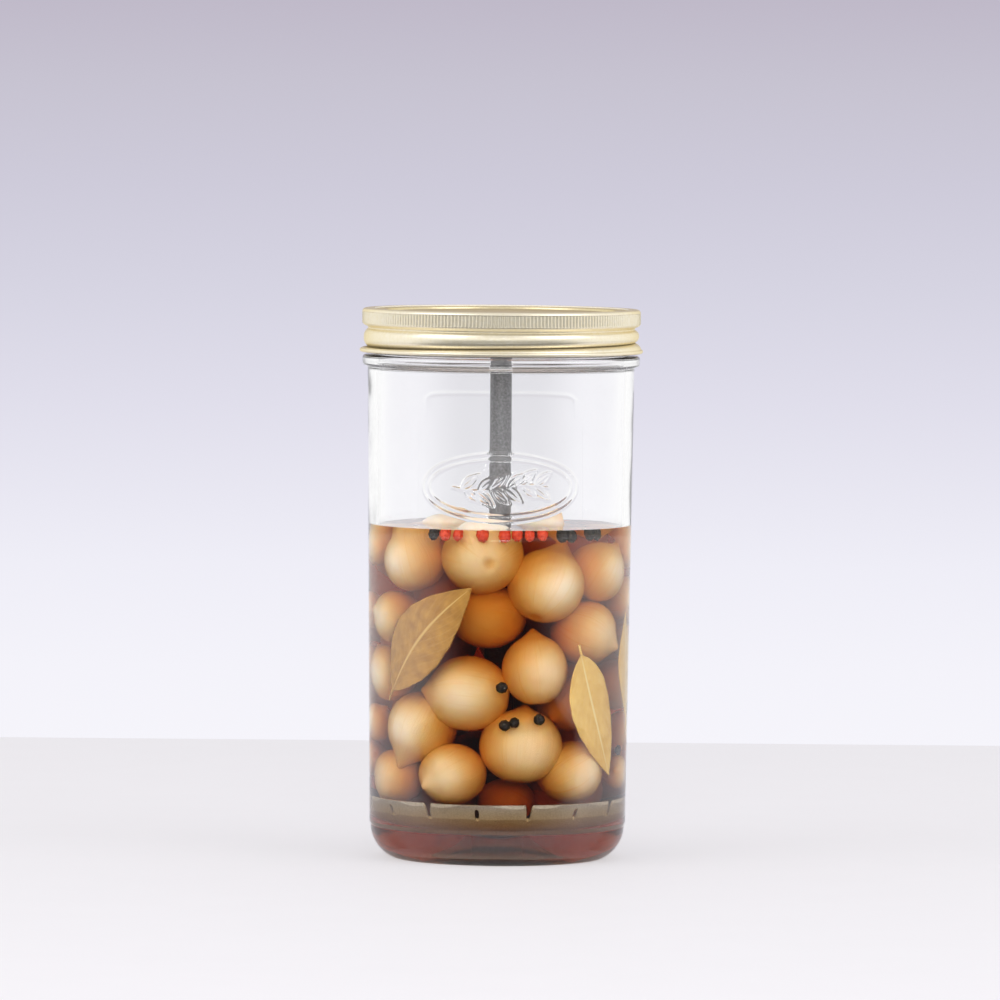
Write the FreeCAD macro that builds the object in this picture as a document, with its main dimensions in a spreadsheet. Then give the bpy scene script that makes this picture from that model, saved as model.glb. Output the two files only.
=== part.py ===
import FreeCAD, Part
import math
import os
import re

import Sketcher

# Pickle jar with lifter: a one-litre wide-mouth jar of pickled onions. Everything turns
# about the Z axis, the jar stands on z = 0, and all sizes are in millimetres and degrees.

DRIVING_SIZES = {
    # Glass jar
    "GlassHeight": 193.4,       # resting ring to sealing rim
    "BodyRadius": 47.4,         # straight body, just under its shoulder
    "BodyTaper": 1.9,           # narrower at the mould seam than under the shoulder
    "GlassWall": 3.4,
    "NeckStep": 2.1,            # neck inside the body
    "NeckWall": 3.5,
    "NeckHeight": 14.8,         # finish above the transfer bead, under the band
    "BeadStand": 1.9,           # transfer bead proud of the body
    "BeadHeight": 3.9,
    "ShoulderDrop": 1.4,        # bead down to the straight body
    "ThroatLength": 5.4,        # inside, where the mouth opens out to the body
    "ThroatRise": 3.8,          # throat's upper end above the bead
    "RimRound": 1.1,
    "SeamHeight": 12.4,
    "SeamStep": 0.4,
    "HeelArc": 12.6,
    "HeelReach": 8.1,           # resting ring inside the body's foot
    "RestWidth": 2.8,
    "PushUp": 3.0,              # rise of the underside at its centre
    "FloorThickness": 4.3,
    "InnerHeelArc": 10.0,
    "FootSeatMargin": 2.5,      # flat spot on the inside floor, round the foot nut
    # Lid: sealing ring, disc and screw band
    "SealThickness": 0.7,
    "SealOverlap": 0.8,         # how far the ring reaches past the neck
    "DiscGap": 0.2,             # disc inside the band's corner
    "DiscSheet": 0.4,
    "PanelDrop": 0.9,           # centre panel below the disc's edge
    "PanelGap": 1.4,            # centre panel inside the mouth
    "BandSheet": 0.5,
    "ThreadRoom": 1.45,         # between the neck and the band's groove, for the thread
    "CollarStand": 2.15,        # knurled collar proud of the groove
    "FlangeWidth": 4.4,
    "BandHeight": 15.5,
    "BandShoulderArc": 1.2,
    "GripHeight": 3.9,          # straight collar that carries the knurling
    "GrooveDrop": 7.0,          # band's top to the groove under the collar
    "BandBeadHeight": 5.9,
    "BandBeadBulge": 1.6,
    "HemStand": 0.9,            # curled hem proud of the collar
    "HemRound": 0.7,
    # Lifter: dished plate, rod and foot nut
    "PassGap": 0.6,             # plate through the mouth, each side
    "PlateSheet": 0.8,
    "BowlArc": 22.3,
    "BowlTurn": 40.0,
    "RimFlare": 2.9,
    "RimHeight": 5.0,
    "SlotWidth": 1.5,
    "PetalCorner": 1.4,
    "PetalDip": 0.6,            # petal's edge inside the plate's circle beside a slot
    "PetalLean": 7.4,
    "BridgeWidth": 0.8,         # metal left above a closed slot, seen from above
    "DrainInnerRadius": 12.0,
    "DrainLength": 11.0,
    "DrainWidth": 2.4,
    "RodRadius": 3.85,
    "RodHeadroom": 5.5,         # rod's end below the sealing rim
    "RodChamfer": 0.8,
    "FootRadius": 7.0,
    "FootHeight": 4.1,
    "FootChamfer": 1.2,
    "RodFit": 0.1,
    # Contents
    "FillHeight": 118.5,
    "WetGap": 0.1,              # between the liquid and what it wets
    "OnionNeckTurn": 50.0,      # latitude where the round bulb runs out into its neck
    "OnionTipShare": 0.1,       # tip's radius as a share of the bulb's
    "FirstOnionRadius": 13.2,
    "FirstOnionAcross": -5.5,
    "FirstOnionWallGap": 1.0515,  # between the bulb, at the front, and the foot's wall
    "FirstOnionRise": 3.6,      # crown above the liquid
    "FirstOnionLean": 80.0,
    "FirstOnionTurn": 100.0,
    "SecondOnionRadius": 12.6,
    "SecondOnionAcross": -20.0,
    "SecondOnionBack": 8.0,
    "SecondOnionRise": 3.1,
    "SecondOnionLean": 25.0,
    "SecondOnionTurn": 0.0,
    "ThirdOnionRadius": 13.1,
    "ThirdOnionAcross": 13.4,
    "ThirdOnionBack": 11.5,
    "ThirdOnionRise": 3.3,
    "ThirdOnionLean": 32.0,
    "ThirdOnionTurn": 350.0,
}

SLOT_PAIRS = 7                  # open slots in the plate's rim, with a closed one between
FRONT_SLOT_TURN = -100.1        # azimuth of the closed slot nearest the front, degrees
DRAIN_COUNT = 7
ONIONS = ("First", "Second", "Third")

# Derived places, as expressions of the driving sizes.
FOOT_RADIUS = "(BodyRadius - BodyTaper)"
NECK_RADIUS = "(BodyRadius - NeckStep)"
MOUTH_RADIUS = "(BodyRadius - NeckStep - NeckWall)"
BEAD_RADIUS = "(BodyRadius + BeadStand)"
REST_OUTER = f"({FOOT_RADIUS} - HeelReach)"
REST_INNER = f"({FOOT_RADIUS} - HeelReach - RestWidth)"
FLOOR_TOP = "(FloorThickness + PushUp)"
BEAD_TOP = "(GlassHeight - NeckHeight)"
BEAD_FOOT = "(GlassHeight - NeckHeight - BeadHeight)"
SHOULDER = "(GlassHeight - NeckHeight - BeadHeight - ShoulderDrop)"
THROAT_TOP = f"({BEAD_TOP} + ThroatRise)"
THROAT_FOOT = f"({BEAD_TOP} + ThroatRise - ThroatLength)"
INNER_TOP = "(BodyRadius - GlassWall)"
INNER_FOOT = f"({FOOT_RADIUS} - GlassWall)"
INNER_HEEL_TOP = "(FloorThickness + InnerHeelArc)"
FOOT_SEAT = "(FootRadius + FootSeatMargin)"
GROOVE_RADIUS = f"({NECK_RADIUS} + ThreadRoom + BandSheet)"
COLLAR_RADIUS = f"({GROOVE_RADIUS} + CollarStand)"
HEM_RADIUS = f"({COLLAR_RADIUS} + HemStand)"
BAND_OPENING = f"({COLLAR_RADIUS} - FlangeWidth)"
DISC_RADIUS = f"({COLLAR_RADIUS} - BandSheet - BandShoulderArc - DiscGap)"
DISC_TOP = "(GlassHeight + SealThickness + DiscSheet)"
BAND_TOP = "(GlassHeight + SealThickness + DiscSheet + BandSheet)"
PLATE_RADIUS = f"(min({MOUTH_RADIUS}; {INNER_FOOT}) - PassGap)"
RIM_FOOT = f"({PLATE_RADIUS} - RimFlare)"
PLATE_FLAT = f"({RIM_FOOT} - BowlArc * sin(BowlTurn))"
BOWL_DEPTH = "(BowlArc * (1 - cos(BowlTurn)))"
ROD_LENGTH = f"(GlassHeight - RodHeadroom - {FLOOR_TOP})"
FIRST_ONION_REACH = f"({INNER_FOOT} - FirstOnionRadius - FirstOnionWallGap)"
ONION_BACKS = {
    "First": f"(-sqrt({FIRST_ONION_REACH} ^ 2 - FirstOnionAcross ^ 2))",
    "Second": "SecondOnionBack",
    "Third": "ThirdOnionBack",
}

LEFT, RIGHT = 1, -1             # which way an outline turns along an arc
HALF_ROUND = "half round"       # in place of a radius: a half circle on an upright chord

doc = FreeCAD.newDocument("PickleJarWithLifter")
sizes = doc.addObject("Spreadsheet::Sheet", "Sizes")


def fill_sheet():
    """Write each driving size as a plain number in a cell with an alias."""
    for row, (alias, value) in enumerate(DRIVING_SIZES.items(), start=1):
        sizes.set(f"A{row}", alias)
        sizes.set(f"B{row}", str(value))
        sizes.setAlias(f"B{row}", alias)
    doc.recompute()


def bound(text):
    """Turn size names in an expression into references to the sheet."""
    return re.sub(r"[A-Z][A-Za-z]+", r"Sizes.\g<0>", text)


def value(text):
    """The present value of an expression of sizes."""
    return float(sizes.evalExpression(bound(text)))


def new_body(label):
    """An empty body whose label names its node."""
    body = doc.addObject("PartDesign::Body", label)
    body.Label = label
    return body


def new_sketch(body, name, role):
    """A sketch on one of the body's own origin planes."""
    sketch = body.newObject("Sketcher::SketchObject", name)
    plane = next(item for item in body.Origin.OriginFeatures if item.Role == role)
    sketch.AttachmentSupport = (plane, [""])
    sketch.MapMode = "FlatFace"
    return sketch


def arc_between(start, end, radius, turn):
    """The circle arc from start to end that turns left or right, the shorter way round."""
    chord = end - start
    half = chord.Length / 2
    height = math.sqrt(max(radius * radius - half * half, 0.0))
    side = FreeCAD.Vector(-chord.y, chord.x, 0).normalize() * (turn * height)
    centre = start + chord / 2 + side
    first, last = (start, end) if turn == LEFT else (end, start)
    angles = [math.atan2(point.y - centre.y, point.x - centre.x) for point in (first, last)]
    circle = Part.Circle(centre, FreeCAD.Vector(0, 0, 1), radius)
    return Part.ArcOfCircle(circle, angles[0], angles[1])


def bind(sketch, index, expression):
    """Bind one dimension of a sketch to the sheet."""
    sketch.setExpression(f"Constraints[{index}]", bound(expression))


def draw_outline(sketch, corners):
    """Draw a closed outline whose corners and arcs are bound to the sheet.

    Each corner is (across, up) or (across, up, radius, turn), as expressions. The radius
    belongs to the arc that leads on to the next corner, and turn is LEFT or RIGHT. The
    centre of a HALF_ROUND arc lies on the upright line through its two corners.
    """
    points = [FreeCAD.Vector(value(item[0]), value(item[1]), 0) for item in corners]
    ends = []
    for index, corner in enumerate(corners):
        start, end = points[index], points[(index + 1) % len(points)]
        if len(corner) == 2:
            sketch.addGeometry(Part.LineSegment(start, end))
            ends.append((1, 2))
        else:
            half_chord = start.distanceToPoint(end) / 2
            radius = half_chord if corner[2] == HALF_ROUND else value(corner[2])
            sketch.addGeometry(arc_between(start, end, radius, corner[3]))
            ends.append((1, 2) if corner[3] == LEFT else (2, 1))
    for index, corner in enumerate(corners):
        before = (index - 1) % len(corners)
        here = (index, ends[index][0])
        sketch.addConstraint(Sketcher.Constraint("Coincident", before, ends[before][1], *here))
        for place, kind, axis in ((corner[0], "DistanceX", -2), (corner[1], "DistanceY", -1)):
            if place == "0":
                sketch.addConstraint(Sketcher.Constraint("PointOnObject", *here, axis))
            else:
                rule = Sketcher.Constraint(kind, -1, 1, *here, value(place))
                bind(sketch, sketch.addConstraint(rule), place)
        if len(corner) == 4 and corner[2] == HALF_ROUND:
            sketch.addConstraint(Sketcher.Constraint("Vertical", index, 3, index, 1))
        elif len(corner) == 4:
            rule = Sketcher.Constraint("Radius", index, value(corner[2]))
            bind(sketch, sketch.addConstraint(rule), corner[2])


def revolve(body, name, corners):
    """Revolve an outline of radius and height about the body's Z axis."""
    sketch = new_sketch(body, name + "Section", "XZ_Plane")
    draw_outline(sketch, corners)
    feature = body.newObject("PartDesign::Revolution", name)
    feature.Profile = sketch
    feature.ReferenceAxis = (sketch, ["V_Axis"])
    feature.Angle = 360
    return feature


def cut_through(body, name, corners, turn, count):
    """Cut an outline seen from above through the body, repeated evenly round its axis."""
    sketch = new_sketch(body, name + "Outline", "XY_Plane")
    draw_outline(sketch, corners)
    pocket = body.newObject("PartDesign::Pocket", name)
    pocket.Profile = sketch
    pocket.Type = "ThroughAll"
    pocket.Midplane = True
    sketch.AttachmentOffset = FreeCAD.Placement(
        FreeCAD.Vector(), FreeCAD.Rotation(FreeCAD.Vector(0, 0, 1), turn))
    pattern = body.newObject("PartDesign::PolarPattern", name + "Ring")
    pattern.Originals = [pocket]
    pattern.Axis = (sketch, ["N_Axis"])
    pattern.Angle = 360
    pattern.Occurrences = count
    body.Tip = pattern
    return pattern


def make_glass_jar():
    """The jar: a blown body on a heel, with a transfer bead, a plain neck and a push-up."""
    body = new_body("glass_jar")
    push_up_arc = f"(({REST_INNER}^2 + PushUp^2) / (2 * PushUp))"
    bead_round = "(BeadHeight / 3)"
    revolve(body, "JarWall", [
        ("0", "PushUp", push_up_arc, RIGHT),
        (REST_INNER, "0"),
        (REST_OUTER, "0", "HeelArc", LEFT),
        (f"({FOOT_RADIUS} - SeamStep)", "(SeamHeight - SeamStep)"),
        (FOOT_RADIUS, "SeamHeight"),
        ("BodyRadius", SHOULDER),
        (f"({BEAD_RADIUS} - {bead_round})", BEAD_FOOT, bead_round, LEFT),
        (BEAD_RADIUS, f"({BEAD_FOOT} + {bead_round})"),
        (BEAD_RADIUS, f"({BEAD_TOP} - {bead_round})", bead_round, LEFT),
        (f"({BEAD_RADIUS} - {bead_round})", BEAD_TOP),
        (NECK_RADIUS, BEAD_TOP),
        (NECK_RADIUS, "(GlassHeight - RimRound)", "RimRound", LEFT),
        (f"({NECK_RADIUS} - RimRound)", "GlassHeight"),
        (f"({MOUTH_RADIUS} + RimRound)", "GlassHeight", "RimRound", LEFT),
        (MOUTH_RADIUS, "(GlassHeight - RimRound)"),
        (MOUTH_RADIUS, THROAT_TOP),
        (INNER_TOP, THROAT_FOOT),
        (INNER_FOOT, INNER_HEEL_TOP, "InnerHeelArc", RIGHT),
        (f"({INNER_FOOT} - InnerHeelArc)", "FloorThickness"),
        (FOOT_SEAT, FLOOR_TOP),
        ("0", FLOOR_TOP),
    ])
    return body


def make_sealing_ring():
    """The flat ring between the glass rim and the disc."""
    body = new_body("sealing_ring")
    seal_inside = f"({MOUTH_RADIUS} - SealOverlap / 4)"
    seal_outside = f"({NECK_RADIUS} + SealOverlap)"
    seal_top = "(GlassHeight + SealThickness)"
    revolve(body, "Ring", [
        (seal_inside, "GlassHeight"),
        (seal_outside, "GlassHeight"),
        (seal_outside, seal_top),
        (seal_inside, seal_top),
    ])
    return body


def make_lid_disc():
    """The pressed disc: a flat edge over the seal and a centre panel that drops inside."""
    body = new_body("lid_disc")
    panel = f"({MOUTH_RADIUS} - PanelGap)"
    disc_foot = "(GlassHeight + SealThickness)"
    revolve(body, "Disc", [
        ("0", f"({disc_foot} - PanelDrop)"),
        (panel, f"({disc_foot} - PanelDrop)"),
        (f"({panel} + PanelDrop)", disc_foot),
        (DISC_RADIUS, disc_foot),
        (DISC_RADIUS, DISC_TOP),
        (f"({panel} + PanelDrop - DiscSheet / 2)", DISC_TOP),
        (f"({panel} - DiscSheet / 2)", f"({DISC_TOP} - PanelDrop)"),
        ("0", f"({DISC_TOP} - PanelDrop)"),
    ])
    return body


def make_screw_band():
    """The screw band: top flange, knurled collar, groove, rolled bead and curled hem."""
    body = new_body("screw_band")
    bead_arc = "(((BandBeadHeight / 2)^2 + BandBeadBulge^2) / (2 * BandBeadBulge))"
    collar_top = f"({BAND_TOP} - BandShoulderArc)"
    collar_foot = f"({BAND_TOP} - BandShoulderArc - GripHeight)"
    bead_top = f"({BAND_TOP} - GrooveDrop)"
    bead_foot = f"({BAND_TOP} - GrooveDrop - BandBeadHeight)"
    band_foot = f"({BAND_TOP} - BandHeight)"
    inner_groove = f"({GROOVE_RADIUS} - BandSheet)"
    inner_collar = f"({COLLAR_RADIUS} - BandSheet)"
    hem_centre = f"({HEM_RADIUS} - HemRound)"
    revolve(body, "Band", [
        (BAND_OPENING, DISC_TOP),
        (f"({inner_collar} - BandShoulderArc)", DISC_TOP, "BandShoulderArc", RIGHT),
        (inner_collar, f"({DISC_TOP} - BandShoulderArc)"),
        (inner_collar, collar_foot),
        (inner_groove, bead_top, bead_arc, RIGHT),
        (inner_groove, bead_foot),
        (f"({hem_centre} - 2 * HemRound)", band_foot),
        (hem_centre, band_foot, HALF_ROUND, LEFT),
        (hem_centre, f"({band_foot} + 2 * HemRound)"),
        (GROOVE_RADIUS, bead_foot, bead_arc, LEFT),
        (GROOVE_RADIUS, bead_top),
        (COLLAR_RADIUS, collar_foot),
        (COLLAR_RADIUS, collar_top, "BandShoulderArc", LEFT),
        (f"({COLLAR_RADIUS} - BandShoulderArc)", BAND_TOP),
        (BAND_OPENING, BAND_TOP),
    ])
    return body


def stand_on_floor(body):
    """Place a piece of the lifter with its own z = 0 on the jar's inside floor."""
    body.setExpression(".Placement.Base.z", bound(FLOOR_TOP))


def make_lifter_plate():
    """The lifter's dished plate, with open and closed slots in turn round its flared rim."""
    body = new_body("lifter_plate")
    stand_on_floor(body)
    lift = "(PlateSheet * cos(BowlTurn))"
    pull = "(PlateSheet * sin(BowlTurn))"
    fold_height = f"(FootHeight + {BOWL_DEPTH})"
    revolve(body, "Dish", [
        ("(RodRadius + RodFit)", "FootHeight"),
        (PLATE_FLAT, "FootHeight", "BowlArc", LEFT),
        (RIM_FOOT, fold_height),
        (PLATE_RADIUS, f"({fold_height} + RimHeight)"),
        (f"({PLATE_RADIUS} - PlateSheet)", f"({fold_height} + RimHeight + PlateSheet / 4)"),
        (f"({RIM_FOOT} - {pull})", f"({fold_height} + {lift})", "(BowlArc - PlateSheet)", RIGHT),
        (PLATE_FLAT, "(FootHeight + PlateSheet)"),
        ("(RodRadius + RodFit)", "(FootHeight + PlateSheet)"),
    ])

    half_slot = "(SlotWidth / 2)"
    flank_start = f"({PLATE_RADIUS} - PetalDip)"
    corner_start = f"({flank_start} - PetalCorner * cos(PetalLean))"
    corner_end = f"({half_slot} + PetalCorner * (1 + sin(PetalLean)))"
    flank_run = f"({PLATE_RADIUS} / 3)"
    flank_end = f"({flank_start} - {flank_run} * sin(PetalLean))"
    flank_side = f"({corner_end} + {flank_run} * cos(PetalLean))"
    beyond = f"({PLATE_RADIUS} + RimFlare)"
    cut_through(body, "OpenSlot", [
        (RIM_FOOT, f"(-{half_slot})"),
        (corner_start, f"(-{half_slot})", "PetalCorner", RIGHT),
        (flank_start, f"(-{corner_end})"),
        (flank_end, f"(-{flank_side})"),
        (beyond, f"(-{flank_side})"),
        (beyond, flank_side),
        (flank_end, flank_side),
        (flank_start, corner_end, "PetalCorner", RIGHT),
        (corner_start, half_slot),
        (RIM_FOOT, half_slot, HALF_ROUND, LEFT),
    ], FRONT_SLOT_TURN + 180 / SLOT_PAIRS, SLOT_PAIRS)

    slot_end = f"({PLATE_RADIUS} - BridgeWidth - {half_slot})"
    cut_through(body, "ClosedSlot", [
        (RIM_FOOT, f"(-{half_slot})"),
        (slot_end, f"(-{half_slot})", HALF_ROUND, LEFT),
        (slot_end, half_slot),
        (RIM_FOOT, half_slot, HALF_ROUND, LEFT),
    ], FRONT_SLOT_TURN, SLOT_PAIRS)

    half_drain = "(DrainWidth / 2)"
    drain_end = "(DrainInnerRadius + DrainLength - DrainWidth)"
    cut_through(body, "DrainSlot", [
        ("DrainInnerRadius", f"(-{half_drain})"),
        (drain_end, f"(-{half_drain})", HALF_ROUND, LEFT),
        (drain_end, half_drain),
        ("DrainInnerRadius", half_drain, HALF_ROUND, LEFT),
    ], FRONT_SLOT_TURN, DRAIN_COUNT)
    return body


def make_lifter_rod():
    """The lifter's straight rod, from the jar's floor to just under the lid."""
    body = new_body("lifter_rod")
    stand_on_floor(body)
    revolve(body, "Rod", [
        ("0", "0"),
        ("RodRadius", "0"),
        ("RodRadius", f"({ROD_LENGTH} - RodChamfer)"),
        ("(RodRadius - RodChamfer)", ROD_LENGTH),
        ("0", ROD_LENGTH),
    ])
    return body


def make_foot_nut():
    """The round nut under the plate, which the lifter stands on."""
    body = new_body("foot_nut")
    stand_on_floor(body)
    revolve(body, "Nut", [
        ("RodRadius", "0"),
        ("(FootRadius - FootChamfer)", "0"),
        ("FootRadius", "FootChamfer"),
        ("FootRadius", "FootHeight"),
        ("RodRadius", "FootHeight"),
    ])
    return body


def make_onion(order, label, swell):
    """A peeled onion that breaks the surface: a round bulb that tapers to a blunt tip.

    swell is added all round, for the hollow that the same onion leaves in the liquid.
    """
    body = new_body(label)
    radius = f"({order}OnionRadius + {swell})"
    neck_across = f"({radius} * cos(OnionNeckTurn))"
    neck_up = f"({radius} * sin(OnionNeckTurn))"
    tip_across = f"({radius} * OnionTipShare)"
    tip_up = f"({neck_up} + ({neck_across} - {tip_across}) / tan(OnionNeckTurn))"
    revolve(body, "Bulb", [
        ("0", f"(-{radius})", radius, LEFT),
        (neck_across, neck_up),
        (tip_across, tip_up),
        ("0", tip_up),
    ])
    lean = f"{order}OnionLean"
    rotation = f"create(<<rotation>>; create(<<vector>>; 0; 0; 1); Sizes.{order}OnionTurn)"
    tilt = f"create(<<rotation>>; create(<<vector>>; 0; 1; 0); Sizes.{lean})"
    height = f"Sizes.FillHeight + Sizes.{order}OnionRise - Sizes.{order}OnionRadius"
    back = bound(ONION_BACKS[order])
    place = f"create(<<vector>>; Sizes.{order}OnionAcross; {back}; {height})"
    body.setExpression("Placement", f"create(<<placement>>; {place}; {rotation} * {tilt})")
    return body


def make_pickling_liquid():
    """The liquid up to its level, drawn round the lifter and cut round the top onions."""
    body = new_body("liquid_fill")
    slope = f"(({INNER_TOP} - {INNER_FOOT}) / ({THROAT_FOOT} - {INNER_HEEL_TOP}))"
    level_radius = f"({INNER_FOOT} + {slope} * (FillHeight - {INNER_HEEL_TOP}) - WetGap)"
    plate_foot = f"({FLOOR_TOP} + FootHeight)"
    fold_height = f"({plate_foot} + {BOWL_DEPTH})"
    rim_top = f"({fold_height} + RimHeight + PlateSheet / 4)"
    foot_bore = "(FootRadius + WetGap)"
    rod_bore = "(RodRadius + WetGap)"
    lift = "((PlateSheet + WetGap) * cos(BowlTurn))"
    pull = "((PlateSheet + WetGap) * sin(BowlTurn))"
    revolve(body, "Fill", [
        (foot_bore, f"({FLOOR_TOP} + WetGap)"),
        (FOOT_SEAT, f"({FLOOR_TOP} + WetGap)"),
        (f"({INNER_FOOT} - InnerHeelArc)", "(FloorThickness + WetGap)",
         "(InnerHeelArc - WetGap)", LEFT),
        (f"({INNER_FOOT} - WetGap)", INNER_HEEL_TOP),
        (level_radius, "FillHeight"),
        (rod_bore, "FillHeight"),
        (rod_bore, f"({plate_foot} + PlateSheet + WetGap)"),
        (PLATE_FLAT, f"({plate_foot} + PlateSheet + WetGap)",
         "(BowlArc - PlateSheet - WetGap)", LEFT),
        (f"({RIM_FOOT} - {pull})", f"({fold_height} + {lift})"),
        (f"({PLATE_RADIUS} - PlateSheet - WetGap)", f"({rim_top} + WetGap)"),
        (f"({PLATE_RADIUS} + WetGap)", f"({rim_top} + WetGap)"),
        (f"({PLATE_RADIUS} + WetGap)", f"({fold_height} + RimHeight - WetGap)"),
        (f"({RIM_FOOT} + WetGap)", f"({fold_height} - WetGap)", "(BowlArc + WetGap)", RIGHT),
        (PLATE_FLAT, f"({plate_foot} - WetGap)"),
        (foot_bore, f"({plate_foot} - WetGap)"),
    ])
    hollows = [make_onion(order, f"{order.lower()}_hollow", "WetGap") for order in ONIONS]
    tools = doc.addObject("Part::MultiFuse", "OnionHollows")
    tools.Shapes = hollows
    liquid = doc.addObject("Part::Cut", "PicklingLiquid")
    liquid.Label = "pickling_liquid"
    liquid.Base = body
    liquid.Tool = tools
    return liquid


def check_document():
    """Stop if any object of the document failed to build."""
    failed = [item.Name for item in doc.Objects if set(item.State) & {"Invalid", "Error"}]
    if failed:
        raise RuntimeError(f"these objects failed to build: {failed}")


def export(parts):
    """Check each sub-part and write it to its own STEP file."""
    for part in parts:
        shape = part.Shape
        if shape.isNull() or not shape.isValid() or len(shape.Solids) != 1:
            raise RuntimeError(f"{part.Label} isn't one valid solid")
    os.makedirs("parts", exist_ok=True)
    for part in parts:
        part.Shape.exportStep(f"parts/{part.Label}.step")
        print(f"{part.Label}: {part.Shape.Volume / 1000:.2f} cm3")


fill_sheet()
sub_parts = [
    make_glass_jar(),
    make_sealing_ring(),
    make_lid_disc(),
    make_screw_band(),
    make_lifter_plate(),
    make_lifter_rod(),
    make_foot_nut(),
    make_pickling_liquid(),
]
sub_parts += [make_onion(order, f"top_onion_{number}", "0")
              for number, order in enumerate(ONIONS, start=1)]
doc.recompute()
check_document()
export(sub_parts)
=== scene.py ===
"""Pickle jar with lifter: the dressed model of a one-litre jar of pickled onions.

The jar stands on z = 0 and everything turns about the Z axis. Sizes are in millimetres and
are turned into metres where a mesh is made. An azimuth is measured in degrees from the
front of the jar, which faces -Y, and grows towards +X.
"""

import logging
import math
from dataclasses import dataclass, field
from enum import Enum
from typing import Any, Sequence

import bpy
import numpy as np
from mathutils import Matrix, Vector

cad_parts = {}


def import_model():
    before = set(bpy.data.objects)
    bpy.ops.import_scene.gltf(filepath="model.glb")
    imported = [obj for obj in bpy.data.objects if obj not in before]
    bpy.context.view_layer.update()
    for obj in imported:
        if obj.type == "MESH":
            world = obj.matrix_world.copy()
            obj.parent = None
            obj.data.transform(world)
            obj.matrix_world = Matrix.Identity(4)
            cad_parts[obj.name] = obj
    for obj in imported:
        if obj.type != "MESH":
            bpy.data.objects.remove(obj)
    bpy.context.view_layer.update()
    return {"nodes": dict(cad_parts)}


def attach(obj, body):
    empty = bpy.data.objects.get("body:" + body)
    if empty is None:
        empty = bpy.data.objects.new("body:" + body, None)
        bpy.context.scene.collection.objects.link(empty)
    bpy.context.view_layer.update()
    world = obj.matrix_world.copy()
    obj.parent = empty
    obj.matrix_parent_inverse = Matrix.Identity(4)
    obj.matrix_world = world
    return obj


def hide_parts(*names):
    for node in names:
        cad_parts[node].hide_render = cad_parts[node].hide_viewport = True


LOG = logging.getLogger("pickle_jar")
MM = 0.001
FILL_LEVEL = 118.5      # height of the vinegar's surface
ROD_RADIUS = 3.85
Point2 = tuple[float, float]
Socket = bpy.types.NodeSocket


class Slot(Enum):
    """The record's material slots."""

    GLASS = "glass"
    VINEGAR = "vinegar"
    GOLD = "gold_lacquer"
    SEAL = "seal"
    STEEL = "steel"
    ONION = "onion"
    LEAF = "bay_leaf"
    BLACK_PEPPER = "black_pepper"
    PINK_PEPPER = "pink_pepper"


class Turn(Enum):
    """Which way a profile turns along an arc."""

    LEFT = 1
    RIGHT = -1


# ---------------------------------------------------------------------------- small tools


def linear(code: str) -> tuple[float, float, float, float]:
    """Turn an sRGB hex colour into linear red, green, blue and alpha.

    Args:
        code: six hex digits.

    Returns:
        Linear values.
    """
    shares = [int(code[i:i + 2], 16) / 255 for i in (0, 2, 4)]
    red, green, blue = [s / 12.92 if s <= 0.04045 else ((s + 0.055) / 1.055) ** 2.4 for s in shares]
    return red, green, blue, 1.0


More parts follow.
